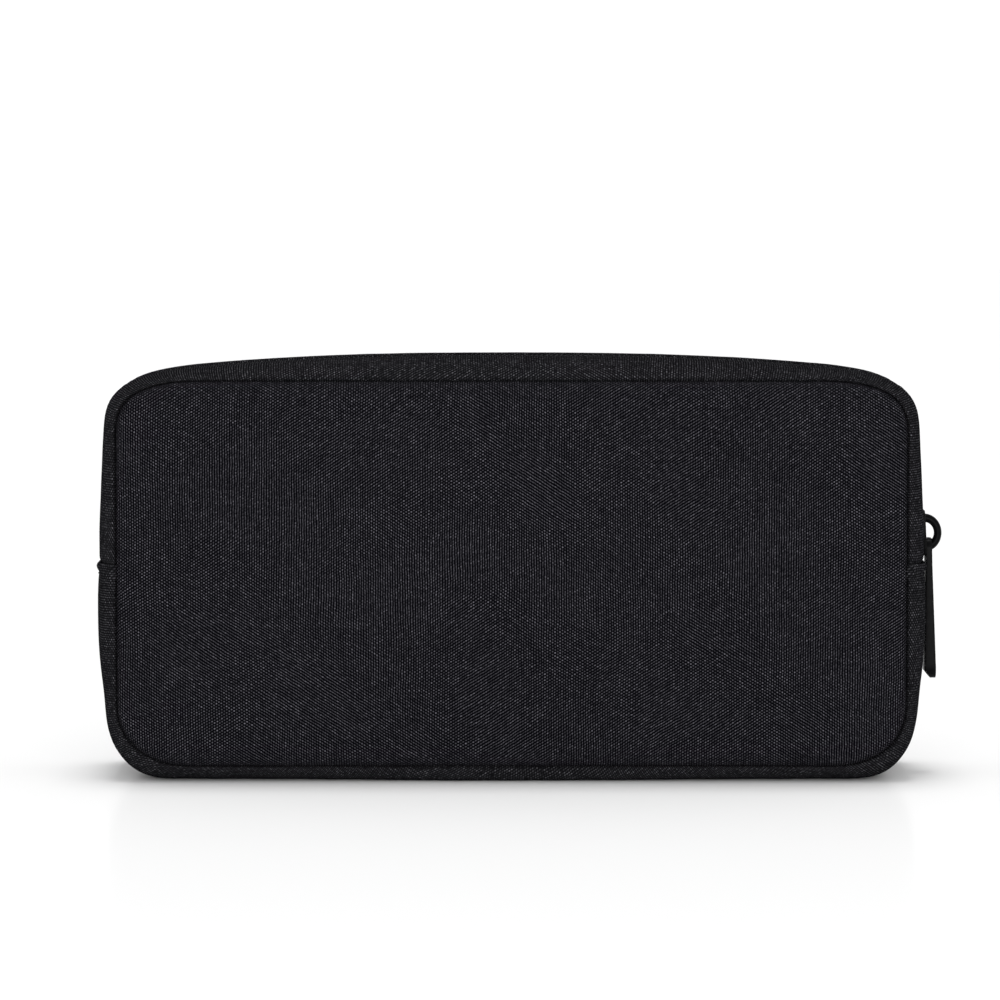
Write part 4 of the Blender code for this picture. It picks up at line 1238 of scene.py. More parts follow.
class POUCH_OT_slider(bpy.types.Operator):
    """Zip slider: two plates on a neck, side rails and an open bridge"""

    bl_idname = "pouch.slider"
    bl_label = "Zip slider"

    def execute(self, context):
        shape, zip_sizes = context.scene.pouch_shape, context.scene.pouch_zip
        half_length, half_width = zip_sizes.slider_length / 2, zip_sizes.slider_width / 2
        plate = (-half_width, half_width), (-half_length - SLIDER_TAIL, half_length)
        neck = (-NECK_HALF_WIDTH, NECK_HALF_WIDTH), (NECK_START - half_length, NECK_END)
        rail = (-RAIL_HALF_LENGTH, RAIL_HALF_LENGTH)
        boxes = [
            ("slider_top", SLIDER_TOP, *plate, SLIDER_CORNER),
            ("slider_bottom", SLIDER_BOTTOM, *plate, SLIDER_CORNER),
            ("slider_neck", SLIDER_NECK, *neck, 0),
        ]
        for word, face in FACES:
            sides = sorted(face * side for side in RAIL_SIDES)
            boxes.append((f"slider_{word}_rail", SLIDER_RAIL, sides, rail, 0))
        parts = [
            bevelled_box(name, (inner, front, foot), (outer, back, top), corner, edge)
            for name, (inner, outer, edge), (front, back), (foot, top), corner in boxes
        ]
        piece = joined("slider_casting", [*parts, self.bridge(zip_sizes)])
        lean = math.atan2(shape.zip_foot_width - shape.crest_shoulder, shape.crest_shoulder_height - ZIP_FOOT)
        height = zip_sizes.slider_height
        across = shape.zip_foot_width - (height - ZIP_FOOT) * math.tan(lean)
        piece.data.transform(Matrix.Translation((across, 0, height)) @ Matrix.Rotation(-lean, 4, "Y"))
        finish(piece, "Black metal")
        settle(piece, ["zip_slider"], body="slider")
        return {"FINISHED"}

    def bridge(self, zip_sizes):
        """The open arch that the pull tab hangs from: a bar swept over half a turn and flattened."""
        bar = zip_sizes.bridge_bar / 2
        reach = zip_sizes.bridge_length / 2 - bar
        middle = (BRIDGE_BASE, 0, zip_sizes.bridge_middle)
        foot = (BRIDGE_BASE, 0, zip_sizes.bridge_middle - reach)
        bpy.ops.object.select_all(action="DESELECT")
        bpy.ops.mesh.primitive_circle_add(vertices=16, radius=bar, fill_type="NGON", location=foot)
        piece = bpy.context.object
        piece.name = "slider_bridge"
        bpy.ops.object.transform_apply(location=True, rotation=False, scale=False)
        edit_mesh(piece)
        bpy.ops.mesh.select_all(action="SELECT")
        bpy.ops.transform.rotate(value=math.radians(90), orient_axis="Y", center_override=foot)
        bpy.ops.transform.resize(value=(1, zip_sizes.bridge_width / 2 / bar, 1), center_override=foot)
        bpy.ops.mesh.spin(steps=24, angle=math.pi, center=middle, axis=(0, 1, 0))
        bpy.ops.mesh.select_all(action="SELECT")
        flatten = (zip_sizes.bridge_height + BRIDGE_LIFT - bar) / reach
        bpy.ops.transform.resize(value=(flatten, 1, 1), center_override=middle)
        bpy.ops.mesh.remove_doubles(threshold=WELD)
        bpy.ops.mesh.normals_make_consistent(inside=False)
        leave_edit(piece)
        return piece


class POUCH_OT_pull(bpy.types.Operator):
    """Long pull tab with an eye round the slider's bridge"""

    bl_idname = "pouch.pull"
    bl_label = "Pull tab"

    def execute(self, context):
        zip_sizes = context.scene.pouch_zip
        piece = self.blade(zip_sizes, zip_sizes.pull_length - PULL_HANG)
        pivot = (zip_sizes.pull_across - PULL_SET_IN, 0, zip_sizes.pull_height - PULL_HANG)
        piece.data.transform(Matrix.Translation(pivot) @ Matrix.Rotation(-PULL_LEAN, 4, "Y"))
        finish(piece, "Black metal")
        settle(piece, ["pull_tab"], body="pull")
        return {"FINISHED"}

    def blade(self, zip_sizes, drop):
        """The tab: a flat blade with round ends, thicker towards its slanting end, and its eye."""
        end, neck, half = zip_sizes.pull_end, zip_sizes.pull_neck, zip_sizes.pull_width / 2
        piece = added_box("pull_blade", (-end / 2, -half, -drop), (end / 2, half, PULL_BAR))
        round_outline(piece, PULL_CORNER, segments=8)
        lowest, highest, cuts = PULL_CUTS
        for height in (*np.linspace(lowest - drop, highest, cuts), PULL_TOP_CUT):
            bpy.ops.mesh.select_all(action="SELECT")
            bpy.ops.mesh.bisect(plane_co=(0, 0, height), plane_no=(0, 0, 1))
        bpy.ops.mesh.select_all(action="SELECT")
        slant_start = (-end / 2, 0, PULL_SLANT_START - drop)
        bpy.ops.mesh.bisect(plane_co=slant_start, plane_no=PULL_SLANT, clear_outer=True, use_fill=True)
        leave_edit(piece)
        eye = bevelled_box(
            "pull_eye", (-end, -PULL_EYE_HALF_WIDTH, PULL_EYE_LOW), (end, PULL_EYE_HALF_WIDTH, -PULL_BAR),
            PULL_EYE_CORNER, PULL_EYE_EDGE,
        )
        apply_modifier(piece, "BOOLEAN", operation="DIFFERENCE", solver="EXACT", object=eye)
        bpy.data.objects.remove(eye)
        widest = PULL_WIDEST - drop
        for vertex in piece.data.vertices:
            way = min(max((PULL_NECK_END - vertex.co.z) / (PULL_NECK_END - widest), 0), 1)
            vertex.co.x *= (neck + (end - neck) * way) / end
            vertex.co.y *= PULL_NECK_SHARE + (1 - PULL_NECK_SHARE) * way
            if vertex.co.z > PULL_TOP_START:
                vertex.co.x *= PULL_TOP_SHARE
        soften(piece, PULL_BEVEL, angle=35)
        return piece


def lining_depth(shape, face):
    """Depth of a lining, which follows its panel inside the padding."""

    def depth_of(flat, insets):
        return face * (shape.seam_half_depth - LINING_SET_IN + crown_depth(shape, insets))

    return depth_of


class POUCH_OT_linings(bpy.types.Operator):
    """Linings and the binding tapes over the seams inside"""

    bl_idname = "pouch.linings"
    bl_label = "Linings and bindings"

    def execute(self, context):
        shape = context.scene.pouch_shape
        linings = {
            FRONT: ["front_lining_lower", "front_lining_fold", "front_lining_upper"],
            BACK: ["back_lining"],
        }
        bindings = {
            FRONT: ["front_seam_binding_lower", "front_seam_binding_upper"],
            BACK: ["back_seam_binding"],
        }
        for name, face in FACES:
            depth_of = lining_depth(shape, face)
            piece = crowned_sheet(
                f"{name}_lining_cloth", shape, LINING_RINGS, LINING_COLUMNS, LINING_ROWS, depth_of
            )
            finish_cloth(piece, LINING, "Lining")
            settle(piece, linings[face], face)
            self.add_binding(shape, name, face, bindings[face])
        self.add_gusset_lining(shape)
        return {"FINISHED"}

    def add_binding(self, shape, name, face, nodes):
        """The tape over one seam's allowance inside, round the whole outline."""
        run = Run(*(over_top(half) for half in right_half(shape, BINDING_STEPS)))
        grid = run.points(np.tile(BINDING_RISES, (len(run.seam), 1)), face * BINDING_DEPTHS)
        cloth_along(
            f"{name}_binding", grid, run.distance, BINDING, "Binding", nodes, face, closed=True
        )

    def add_gusset_lining(self, shape):
        """The lining of the lower gusset."""
        heights = np.linspace(shape.crest_low_height, GUSSET_LINING_TOP, GUSSET_LINING_STEPS + 1)[1:]
        run = Run(*(under_bottom(half) for half in low_half(shape, heights)))
        rise_half = (run.bulge[:, None] - GUSSET_LINING_INSET) * np.sin(GUSSET_LINING_ANGLES)[None, :]
        reach = shape.seam_half_depth - shape.flat_half_depth
        depth_half = shape.flat_half_depth + (reach - GUSSET_LINING_INSET) * np.cos(GUSSET_LINING_ANGLES)
        rise = np.hstack((rise_half, rise_half[:, ::-1]))
        depth = np.concatenate((-depth_half, depth_half[::-1]))
        stretched_cloth(
            "gusset_lining_cloth", run.points(rise, depth), run.distance,
            GUSSET_LINING, "Lining", ["lower_gusset_lining"],
        )


def pocket_depth(fit, x, height):
    """Depth of the mesh pocket's front, which bulges between its sewn edges."""
    across = 1 - np.abs(x / fit.pocket_half_width) ** POCKET_SIDE_POWER
    rise = 1 - ((fit.pocket_top - height) / (fit.pocket_top - fit.pocket_bottom)) ** POCKET_RISE_POWER
    return fit.pocket_edge - fit.pocket_bulge * across * np.minimum(rise, 1)


def band_grid(across, depth, heights):
    """Points of an upright band: a row of heights at each place across."""
    size = (len(across), len(heights))
    return np.stack([np.broadcast_to(part, size) for part in (across[:, None], depth, heights)], axis=-1)


class POUCH_OT_pocket(bpy.types.Operator):
    """Mesh pocket on the back lining, with its elastic hem"""

    bl_idname = "pouch.pocket"
    bl_label = "Mesh pocket"

    def execute(self, context):
        fit = context.scene.pouch_fittings
        self.add_net(fit)
        self.add_hem(fit)
        return {"FINISHED"}

    def add_net(self, fit):
        """The net itself: a mesh of diamonds with real holes."""
        columns = round(2 * fit.pocket_half_width / fit.net_pitch)
        rows = round((fit.pocket_top - fit.pocket_bottom) / fit.net_pitch)
        bpy.ops.object.select_all(action="DESELECT")
        bpy.ops.mesh.primitive_grid_add(x_subdivisions=columns, y_subdivisions=rows, size=2)
        piece = bpy.context.object
        piece.name = piece.data.name = "mesh_pocket_net"
        edit_mesh(piece)
        bpy.ops.mesh.select_all(action="SELECT")
        bpy.ops.mesh.poke()
        bm = bmesh.from_edit_mesh(piece.data)
        for edge in bm.edges:
            first, second = (vertex.co for vertex in edge.verts)
            level = abs(first.x - second.x) < WELD or abs(first.y - second.y) < WELD
            edge.select_set(level and not edge.is_boundary)
        bm.select_flush_mode()
        bmesh.update_edit_mesh(piece.data)
        bpy.ops.mesh.dissolve_edges(use_verts=False)
        leave_edit(piece)
        middle = (fit.pocket_top + fit.pocket_bottom) / 2
        half = (fit.pocket_top - fit.pocket_bottom) / 2
        for vertex in piece.data.vertices:
            x = vertex.co.x * fit.pocket_half_width
            z = middle + vertex.co.y * half
            vertex.co = (x, pocket_depth(fit, x, z) + NET_SET_BACK, z)
        while piece.data.uv_layers:
            piece.data.uv_layers.remove(piece.data.uv_layers[0])
        apply_modifier(piece, "WIREFRAME", thickness=fit.net_thread, use_even_offset=False, use_boundary=True)
        finish(piece, "Net thread", THREAD_SMOOTH)
        settle(piece, ["mesh_pocket"])

    def add_hem(self, fit):
        """The elastic band along the pocket's open top, gathered a little."""
        x = np.linspace(-fit.pocket_half_width, fit.pocket_half_width, ELASTIC_COLUMNS)
        low = fit.pocket_top + ELASTIC_GAP
        heights = np.linspace(low, low + fit.hem_height, ELASTIC_ROWS)
        front = pocket_depth(fit, x, np.full_like(x, fit.pocket_top))
        gathers = ripple(x, GATHER_WAVE, GATHER_SEED) * GATHER
        swell = np.sin(np.linspace(0, math.pi, ELASTIC_ROWS)) * ELASTIC_SWELL
        grid = band_grid(x, (front + gathers)[:, None] - swell[None, :], heights)
        cloth_along(
            "pocket_hem_elastic", grid, x - x[0], fit.hem_thickness, "Elastic", ["pocket_hem"],
            inwards=True,
        )


class POUCH_OT_loops(bpy.types.Operator):
    """Elastic band sewn to the back lining in loops for cables"""

    bl_idname = "pouch.loops"
    bl_label = "Cable loops"

    def execute(self, context):
        fit = context.scene.pouch_fittings
        pitch = 2 * fit.loop_half_width + fit.loop_sewn
        edge = fit.loops * pitch / 2 + fit.loop_sewn / 2
        face = LOOP_WALL - fit.band
        reach = fit.loop_half_width + fit.band
        course = [(-edge, face)]
        sewn = [-edge + fit.loop_sewn / 2]
        for loop in range(fit.loops):
            middle = (loop - (fit.loops - 1) / 2) * pitch
            for angle in np.linspace(0, math.pi, LOOP_POINTS):
                course.append((middle - reach * math.cos(angle), face - fit.loop_height * math.sin(angle)))
            sewn.append(middle + fit.loop_half_width + fit.loop_sewn / 2)
        course.append((edge, face))
        course = resampled(np.array(course), LOOP_STEPS)
        along = distances(course)
        heights = np.linspace(fit.band_bottom, fit.band_top, LOOP_ROWS)
        piece, _ = cloth_along(
            "loop_band_elastic", band_grid(course[:, 0], course[:, 1:], heights), along,
            fit.band, "Elastic", ["cable_loop_band"], inwards=True,
        )
        low, high = fit.band_bottom + LOOP_STITCH_FIRST, fit.band_top - LOOP_STITCH_LAST
        depth, outwards = face - LOOP_STITCH_LIFT, Vector((0, -1, 0))
        places = [
            frame_matrix(Vector((x + shift, depth, z)), LOOP_STITCH_ALONG, outwards)
            for x in sewn
            for shift in LOOP_STITCH_SHIFTS
            for z in np.arange(low, high, LOOP_STITCH_PITCH)
        ]
        settle(stitch_row("loop_band_stitching", places, LOOP_STITCH_SIZE))
        return {"FINISHED"}


class Nodes:
    """Adds nodes to a tree and links them."""

    def __init__(self, tree):
        self.tree = tree

    def add(self, kind, values=None, **settings):
        """A new node with its settings, and with its sockets linked or set to plain values."""
        node = self.tree.nodes.new(kind)
        for name, value in settings.items():
            setattr(node, name, value)
        for socket, value in (values or {}).items():
            self.put(node.inputs[socket], value)
        return node

    def put(self, socket, value):
        """Link a socket, or set it to a plain value."""
        if isinstance(value, bpy.types.NodeSocket):
            self.tree.links.new(value, socket)
        elif value is not None:
            socket.default_value = value

    def math(self, operation, *values):
        """The result of a Math node."""
        return self.add("ShaderNodeMath", dict(enumerate(values)), operation=operation).outputs[0]

    def clamped(self, value, low, high):
        """A value kept between two others."""
        return self.math("MINIMUM", self.math("MAXIMUM", value, low), high)

    def vector(self, operation, first, values):
        """The result of a Vector Math node."""
        return self.add("ShaderNodeVectorMath", {0: first, **values}, operation=operation).outputs[0]

    def noise(self, place, scale, detail):
        """Soft noise at a place."""
        return self.add("ShaderNodeTexNoise", {"Vector": place, "Scale": scale, "Detail": detail})

    def combine(self, x, y):
        """A vector from two values."""
        return self.add("ShaderNodeCombineXYZ", {"X": x, "Y": y}).outputs[0]

    def split(self, vector):
        """The parts of a vector."""
        return self.add("ShaderNodeSeparateXYZ", {0: vector}).outputs

    def remap(self, value, reach=(0.0, 1.0), result=(0.0, 1.0), curve="LINEAR"):
        """A value's way through one range, as a value in another."""
        values = {"Value": value, "From Min": reach[0], "From Max": reach[1]}
        values.update({"To Min": result[0], "To Max": result[1]})
        return self.add("ShaderNodeMapRange", values, interpolation_type=curve).outputs["Result"]


def new_group(name, inputs, outputs):
    """An empty shader node group with its sockets: its nodes, input node and output node."""
    group = bpy.data.node_groups.new(name, "ShaderNodeTree")
    for socket, kind, default in inputs:
        made = group.interface.new_socket(socket, in_out="INPUT", socket_type=kind)
        if default is not None:
            made.default_value = default
    for socket in outputs:
        group.interface.new_socket(socket, in_out="OUTPUT", socket_type="NodeSocketFloat")
    nodes = Nodes(group)
    return nodes, nodes.add("NodeGroupInput"), nodes.add("NodeGroupOutput")


def weave_group():
    """Plain weave whose upright threads and crossings change their balance and lean over the cloth."""
    nodes, source, sink = new_group(
        "Plain weave",
        (
            ("Place", "NodeSocketVector", None),
            ("Warp Pitch", "NodeSocketFloat", 0.7 * MM),
            ("Weft Pitch", "NodeSocketFloat", 0.44 * MM),
            ("Wander", "NodeSocketFloat", 0.3 * MM),
            ("Crossing", "NodeSocketFloat", 0.72),
            ("Drift", "NodeSocketFloat", 1.0),
            ("Unevenness", "NodeSocketFloat", 0.6),
            ("Contrast", "NodeSocketFloat", 1.0),
        ),
        ("Height", "Tone"),
    )
    place, drift, contrast = (source.outputs[name] for name in ("Place", "Drift", "Contrast"))

    # Threads wander slowly over the cloth, and a little from one crossing to the next
    moved = place
    for scale, part in WEAVE_WANDER:
        way = nodes.vector("SUBTRACT", nodes.noise(place, scale, 1.0).outputs["Color"], {1: (0.5, 0.5, 0.5)})
        way = nodes.vector("SCALE", way, {"Scale": nodes.math("MULTIPLY", source.outputs["Wander"], part)})
        moved = nodes.vector("ADD", moved, {1: way})
    parts = nodes.split(moved)
    u = nodes.math("DIVIDE", parts["X"], source.outputs["Warp Pitch"])
    v = nodes.math("DIVIDE", parts["Y"], source.outputs["Weft Pitch"])

    # Slow changes over the cloth: which way the crossings lean, how much they show, and the tone
    patch = nodes.noise(place, *WEAVE_PATCH).outputs["Color"]
    patch = nodes.add("ShaderNodeSeparateColor", {0: patch}).outputs
    lean = nodes.math("MULTIPLY_ADD", patch["Red"], WEAVE_LEAN_GAIN, -WEAVE_LEAN_GAIN / 2)
    lean = nodes.math("MULTIPLY", nodes.math("MULTIPLY", nodes.clamped(lean, -1.0, 1.0), drift), 0.5)
    balance = nodes.math("MULTIPLY_ADD", patch["Green"], WEAVE_BALANCE_GAIN, -WEAVE_BALANCE_GAIN / 2)
    balance = nodes.math("MULTIPLY_ADD", balance, drift, source.outputs["Crossing"])
    balance = nodes.clamped(balance, 0.0, 1.0)
    lines = nodes.math("MULTIPLY", nodes.math("MULTIPLY_ADD", balance, *WEAVE_LINES), contrast)
    crossings = nodes.math("MULTIPLY", nodes.math("MULTIPLY_ADD", balance, *WEAVE_CROSSINGS), contrast)

    rising = nodes.math("COSINE", nodes.math("MULTIPLY", nodes.math("SUBTRACT", u, v), math.pi))
    falling = nodes.math("COSINE", nodes.math("MULTIPLY", nodes.math("ADD", u, v), math.pi))
    rising_share = nodes.math("MULTIPLY", rising, nodes.math("SUBTRACT", 0.5, lean))
    falling_share = nodes.math("MULTIPLY", falling, nodes.math("ADD", 0.5, lean))
    over = nodes.math("SUBTRACT", rising_share, falling_share)
    upright = nodes.math("COSINE", nodes.math("MULTIPLY", u, 2 * math.pi))
    shown = nodes.math("SUBTRACT", 0.5, nodes.math("MULTIPLY", upright, lines))
    shown = nodes.math("MULTIPLY_ADD", over, crossings, shown)
    shown = nodes.math("POWER", nodes.math("MAXIMUM", shown, 0.0), WEAVE_SHARPNESS)

    # Keeps the mean tone the same whatever the balance
    spread = nodes.math("MULTIPLY", nodes.math("MULTIPLY", lines, lines), 0.5)
    slant = nodes.math("MULTIPLY_ADD", lean, lean, 0.25)
    spread = nodes.math("MULTIPLY_ADD", nodes.math("MULTIPLY", crossings, crossings), slant, spread)
    shown = nodes.math("DIVIDE", shown, nodes.math("MULTIPLY_ADD", spread, *WEAVE_MEAN))

    both = nodes.math("MULTIPLY", nodes.math("SUBTRACT", rising, falling), 0.5)
    warp, weft = (
        nodes.math("POWER", nodes.math("MAXIMUM", thread, 0.0), WEAVE_ROUNDNESS)
        for thread in (both, nodes.math("MULTIPLY", both, -1.0))
    )
    nodes.put(sink.inputs["Height"], nodes.math("MULTIPLY_ADD", weft, WEAVE_WEFT_HEIGHT, warp))

    # Threads of uneven tone: each float, a few bright ones, each stretch of thread, and soft clouds
    cell = nodes.combine(nodes.math("FLOOR", u), nodes.math("FLOOR", v))
    speck = nodes.add("ShaderNodeTexWhiteNoise", {"Vector": cell}, noise_dimensions="2D").outputs["Value"]
    stretched = nodes.combine(u, nodes.math("MULTIPLY", v, WEAVE_UPRIGHT_STRETCH))
    upright_thread = nodes.noise(stretched, 1.0, 0.0).outputs["Fac"]
    stretched = nodes.combine(nodes.math("MULTIPLY", u, WEAVE_LEVEL_STRETCH), v)
    level_thread = nodes.noise(stretched, 1.0, 0.0).outputs["Fac"]
    cloud = nodes.noise(place, *WEAVE_CLOUD).outputs["Fac"]
    uneven = nodes.math("SUBTRACT", speck, WEAVE_SPECK_MEAN)
    bright = nodes.math("POWER", speck, WEAVE_BRIGHT_POWER)
    uneven = nodes.math("MULTIPLY_ADD", bright, WEAVE_BRIGHT_GAIN, uneven)
    tones = {"upright": upright_thread, "level": level_thread, "cloud": cloud, "patch": patch["Blue"]}
    for name, strength in WEAVE_STRENGTHS.items():
        centred = nodes.math("SUBTRACT", tones[name], 0.5)
        uneven = nodes.math("MULTIPLY_ADD", centred, strength, uneven)
    uneven = nodes.math("MULTIPLY_ADD", uneven, source.outputs["Unevenness"], 1.0)
    tone = nodes.math("MULTIPLY", shown, uneven)
    nodes.put(sink.inputs["Tone"], nodes.math("MAXIMUM", tone, 0.0))
    return nodes.tree


def rib_group():
    """Ribbed weave: raised cords side by side, with fine threads across them."""
    nodes, source, sink = new_group(
        "Ribbed weave",
        (
            ("Place", "NodeSocketVector", None),
            ("Rib Pitch", "NodeSocketFloat", 1.0 * MM),
            ("Thread Pitch", "NodeSocketFloat", 0.4 * MM),
        ),
        ("Height", "Tone"),
    )
    place = source.outputs["Place"]
    parts = nodes.split(place)
    u = nodes.math("DIVIDE", parts["X"], source.outputs["Thread Pitch"])
    v = nodes.math("DIVIDE", parts["Y"], source.outputs["Rib Pitch"])
    u = nodes.math("ADD", u, nodes.math("MULTIPLY", nodes.math("FLOOR", v), 0.5))
    thread, rib = (
        nodes.math("ABSOLUTE", nodes.math("SINE", nodes.math("MULTIPLY", way, math.pi))) for way in (u, v)
    )
    rib = nodes.math("POWER", rib, RIB_ROUNDNESS)
    height = nodes.math("MULTIPLY", rib, nodes.math("MULTIPLY_ADD", thread, *RIB_THREADS))
    nodes.put(sink.inputs["Height"], height)
    cloud = nodes.noise(place, *RIB_CLOUD).outputs["Fac"]
    tone = nodes.math("MULTIPLY", height, nodes.math("MULTIPLY_ADD", cloud, *RIB_UNEVEN))
    nodes.put(sink.inputs["Tone"], nodes.clamped(tone, 0.0, 1.0))
    return nodes.tree


def new_material(name, roughness, specular):
    """A material with its shader, ready for nodes."""
    material = bpy.data.materials.new(name)
    material.use_nodes = True
    nodes = Nodes(material.node_tree)
    shader = material.node_tree.nodes["Principled BSDF"]
    shader.inputs["Roughness"].default_value = roughness
    shader.inputs["Specular IOR Level"].default_value = specular
    return nodes, shader


def dress(nodes, shader, tone, height, dark, light, strength, relief, clamp_factor=True):
    """Colour a shader between two tones, and raise its surface by a height."""
    mix = nodes.add(
        "ShaderNodeMix", {"Factor": tone, 6: (*dark, 1), 7: (*light, 1)},
        data_type="RGBA", clamp_factor=clamp_factor,
    )
    nodes.put(shader.inputs["Base Color"], mix.outputs[2])
    bump = nodes.add("ShaderNodeBump", {"Strength": strength, "Distance": relief, "Height": height})
    nodes.put(shader.inputs["Normal"], bump.outputs["Normal"])


def woven_material(name, group, values, gap, thread, roughness, specular, relief, edges=()):
    """A cloth whose colour and relief come from a weave group on its own UV map.

    Near edges, which are heights on the flat cloth, the threads lie closer and show less.
    """
    nodes, shader = new_material(name, roughness, specular)
    place = nodes.add("ShaderNodeUVMap", uv_map=UV_NAME).outputs["UV"]
    weave = nodes.add("ShaderNodeGroup", {"Place": place, **values}, node_tree=group)
    if edges:
        height = nodes.split(place)["Y"]
        shown = [
            nodes.remap(height, (edge, edge + inner), (EDGE_CONTRAST, 1.0))
            for edge, inner in zip(edges, (EDGE_CALM, -EDGE_CALM))
        ]
        nodes.put(weave.inputs["Contrast"], nodes.math("MINIMUM", *shown))
    tone, height = weave.outputs["Tone"], weave.outputs["Height"]
    dress(nodes, shader, tone, height, gap, thread, CLOTH_BUMP, relief, clamp_factor=False)


def grained_material(name, dark, light, roughness, specular, scale, relief):
    """A smooth material with a faint uneven grain on object coordinates."""
    nodes, shader = new_material(name, roughness, specular)
    place = nodes.add("ShaderNodeTexCoord").outputs["Object"]
    grain = nodes.noise(place, scale, GRAIN_DETAIL).outputs["Fac"]
    dress(nodes, shader, grain, grain, dark, light, GRAIN_BUMP, relief)
    rough = nodes.remap(grain, result=[roughness * part for part in GRAIN_ROUGHNESS])
    nodes.put(shader.inputs["Roughness"], rough)


class POUCH_OT_finishes(bpy.types.Operator):
    """Materials of the cloth, zip, elastic and metal"""

    bl_idname = "pouch.finishes"
    bl_label = "Finishes"

    def execute(self, context):
        shape, look = context.scene.pouch_shape, context.scene.pouch_finish
        weave, ribs = weave_group(), rib_group()
        pitches = {"Warp Pitch": look.warp, "Weft Pitch": look.weft}
        woven_material(
            "Woven cloth", weave, {**pitches, "Wander": 1.2 * MM, "Unevenness": 0.7},
            look.cloth_gap, look.cloth_thread, roughness=0.9, specular=0.0, relief=0.18 * MM,
            edges=(shape.seam_bottom, shape.seam_top),
        )
        woven_material(
            "Edge cloth", weave,
            {**pitches, "Wander": 1.6 * MM, "Crossing": 0.55, "Drift": 0.8, "Unevenness": 1.2},
            look.edge_gap, look.edge_thread, roughness=0.9, specular=0.0, relief=0.14 * MM,
        )
        fine = {"Warp Pitch": 0.34 * MM, "Weft Pitch": 0.30 * MM}
        woven_material(
            "Lining", weave, {**fine, "Crossing": 1.0, "Drift": 0.0, "Unevenness": 0.3},
            look.lining_gap, look.lining_thread, roughness=0.6, specular=0.2, relief=0.05 * MM,
        )
        woven_material(
            "Zip tape", ribs, {"Rib Pitch": 0.85 * MM, "Thread Pitch": 0.5 * MM},
            look.tape_gap, look.tape_thread, roughness=0.8, specular=0.05, relief=0.15 * MM,
        )
        elastic = (look.elastic_gap, look.elastic_thread)
        woven_material(
            "Elastic", ribs, {"Rib Pitch": 1.15 * MM, "Thread Pitch": 0.45 * MM},
            *elastic, roughness=0.75, specular=0.25, relief=0.2 * MM,
        )
        woven_material(
            "Binding", ribs, {"Rib Pitch": 0.4 * MM, "Thread Pitch": 0.9 * MM},
            *elastic, roughness=0.75, specular=0.25, relief=0.15 * MM,
        )
        for name, dark, light, roughness, specular, scale, relief in (
            ("Coil nylon", look.coil, look.metal_worn, 0.55, 0.04, 900.0, 0.02 * MM),
            ("Sewing thread", look.tape_gap, look.thread, 0.8, 0.02, 2500.0, 0.08 * MM),
            ("Net thread", look.tape_gap, look.thread, 0.65, 0.3, 1800.0, 0.06 * MM),
            ("Black metal", look.metal, look.metal_worn, 0.28, 0.028, 420.0, 0.012 * MM),
        ):
            grained_material(name, dark, light, roughness, specular, scale, relief)
        return {"FINISHED"}


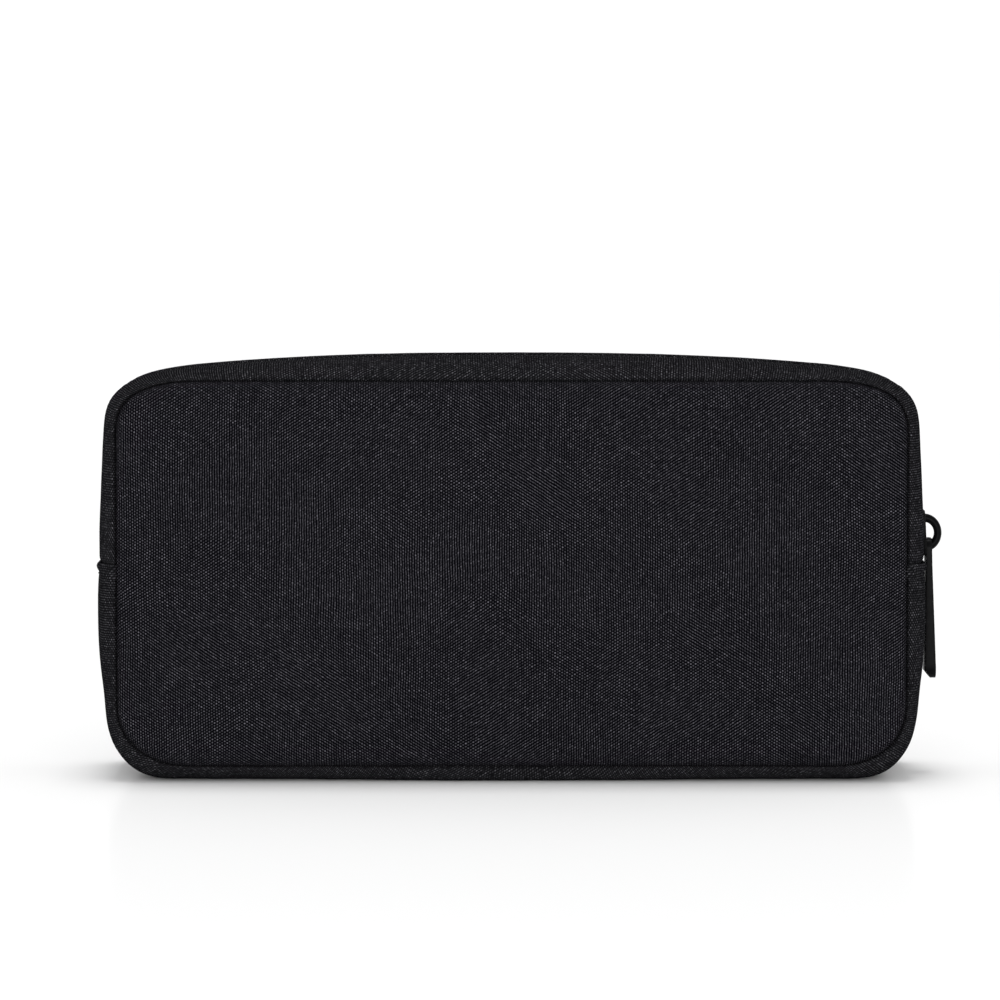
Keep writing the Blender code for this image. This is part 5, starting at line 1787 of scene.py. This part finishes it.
class POUCH_OT_stage(bpy.types.Operator):
    """Pale floor, soft studio light and the camera"""

    bl_idname = "pouch.stage"
    bl_label = "Stage"

    def execute(self, context):
        stage = context.scene.pouch_stage
        context.scene.view_settings.view_transform = "Standard"
        self.add_floor(stage)
        self.add_lights(stage)
        self.add_camera(stage)
        return {"FINISHED"}

    def link(self, name, data):
        """A new object in the scene for a light or camera."""
        made = bpy.data.objects.new(name, data)
        bpy.context.scene.collection.objects.link(made)
        return made

    def add_floor(self, stage):
        """A white floor that mirrors a little near the pouch."""
        bpy.ops.object.select_all(action="DESELECT")
        bpy.ops.mesh.primitive_plane_add(size=FLOOR_SIZE, location=(0, 0, 0))
        floor = bpy.context.object
        floor.name = "floor"
        material = bpy.data.materials.new("White floor")
        material.use_nodes = True
        tree = material.node_tree
        tree.nodes.remove(tree.nodes["Principled BSDF"])
        nodes = Nodes(tree)
        white = nodes.add("ShaderNodeBsdfDiffuse", {"Color": FLOOR_WHITE})
        gloss = nodes.add("ShaderNodeBsdfGlossy", {"Roughness": FLOOR_ROUGHNESS})
        depth = nodes.split(nodes.add("ShaderNodeTexCoord").outputs["Object"])["Y"]
        mirror = nodes.remap(
            depth, (-stage.mirror_end, -stage.mirror_start), (0.0, stage.mirror), curve="SMOOTHSTEP"
        )
        mix = nodes.add("ShaderNodeMixShader", {"Fac": mirror, 1: white.outputs[0], 2: gloss.outputs[0]})
        nodes.put(tree.nodes["Material Output"].inputs["Surface"], mix.outputs[0])
        floor.data.materials.append(material)

    def add_lights(self, stage):
        """White surroundings, a soft light above and one large soft light in front."""
        world = bpy.data.worlds.new("White room")
        bpy.context.scene.world = world
        world.use_nodes = True
        nodes = Nodes(world.node_tree)
        room = world.node_tree.nodes["Background"]
        room.inputs["Color"].default_value = (1, 1, 1, 1)
        up = nodes.split(nodes.add("ShaderNodeTexCoord").outputs["Generated"])["Z"]
        strength = nodes.remap(up, HORIZON_FADE, (stage.horizon, stage.sky), curve="SMOOTHSTEP")
        nodes.put(room.inputs["Strength"], strength)
        sun = bpy.data.lights.new("top_light", "SUN")
        sun.energy = stage.top
        sun.angle = TOP_LIGHT_SPREAD
        self.link("top_light", sun).rotation_euler = (TOP_LIGHT_TILT, 0, 0)
        light = bpy.data.lights.new("front_light", "AREA")
        light.shape = "RECTANGLE"
        light.size, light.size_y = FRONT_LIGHT_SIZE
        light.energy = stage.key
        lamp = self.link("front_light", light)
        lamp.location = FRONT_LIGHT_PLACE
        lamp.rotation_euler = (FRONT_LIGHT_AIM - FRONT_LIGHT_PLACE).to_track_quat("-Z", "Y").to_euler()

    def add_camera(self, stage):
        """A long lens a little above the pouch, in front of it."""
        camera = bpy.data.cameras.new("camera")
        camera.sensor_width = SENSOR_WIDTH
        camera.lens = camera.sensor_width * stage.camera_distance / stage.view_width
        camera.clip_end = VIEW_END
        view = self.link("camera", camera)
        aim = Vector((stage.aim_across, 0, stage.aim_height))
        back = Vector((0, -math.cos(stage.camera_elevation), math.sin(stage.camera_elevation)))
        view.location = aim + back * stage.camera_distance
        view.rotation_euler = (-back).to_track_quat("-Z", "Y").to_euler()
        bpy.context.scene.camera = view


OPERATORS = (
    POUCH_OT_finishes,
    POUCH_OT_stage,
    POUCH_OT_panels,
    POUCH_OT_gusset,
    POUCH_OT_strips,
    POUCH_OT_zip_chain,
    POUCH_OT_slider,
    POUCH_OT_pull,
    POUCH_OT_linings,
    POUCH_OT_pocket,
    POUCH_OT_loops,
)


class POUCH_PT_panel(bpy.types.Panel):
    """Lists the steps that build the pouch"""

    bl_idname = "POUCH_PT_panel"
    bl_label = "Zip pouch"
    bl_space_type = "VIEW_3D"
    bl_region_type = "UI"
    bl_category = "Pouch"

    def draw(self, context):
        for operator in OPERATORS:
            self.layout.operator(operator.bl_idname)


GROUPS = {
    "pouch_shape": PouchShape,
    "pouch_zip": PouchZip,
    "pouch_fittings": PouchFittings,
    "pouch_finish": PouchFinish,
    "pouch_stage": PouchStage,
}


def register():
    """Make the settings, operators and panel known to Blender."""
    for known in (*GROUPS.values(), *OPERATORS, POUCH_PT_panel):
        bpy.utils.register_class(known)
    for name, group in GROUPS.items():
        setattr(bpy.types.Scene, name, bpy.props.PointerProperty(type=group))


def unregister():
    """Take them away again."""
    for name in GROUPS:
        delattr(bpy.types.Scene, name)
    for known in reversed((*GROUPS.values(), *OPERATORS, POUCH_PT_panel)):
        bpy.utils.unregister_class(known)


def main():
    """Build the pouch step by step."""
    register()
    bpy.ops.pouch.finishes()
    bpy.ops.pouch.stage()
    bpy.ops.pouch.panels()
    bpy.ops.pouch.gusset()
    bpy.ops.pouch.strips()
    bpy.ops.pouch.zip_chain()
    bpy.ops.pouch.slider()
    bpy.ops.pouch.pull()
    bpy.ops.pouch.linings()
    bpy.ops.pouch.pocket()
    bpy.ops.pouch.loops()


if __name__ == "__main__":
    main()
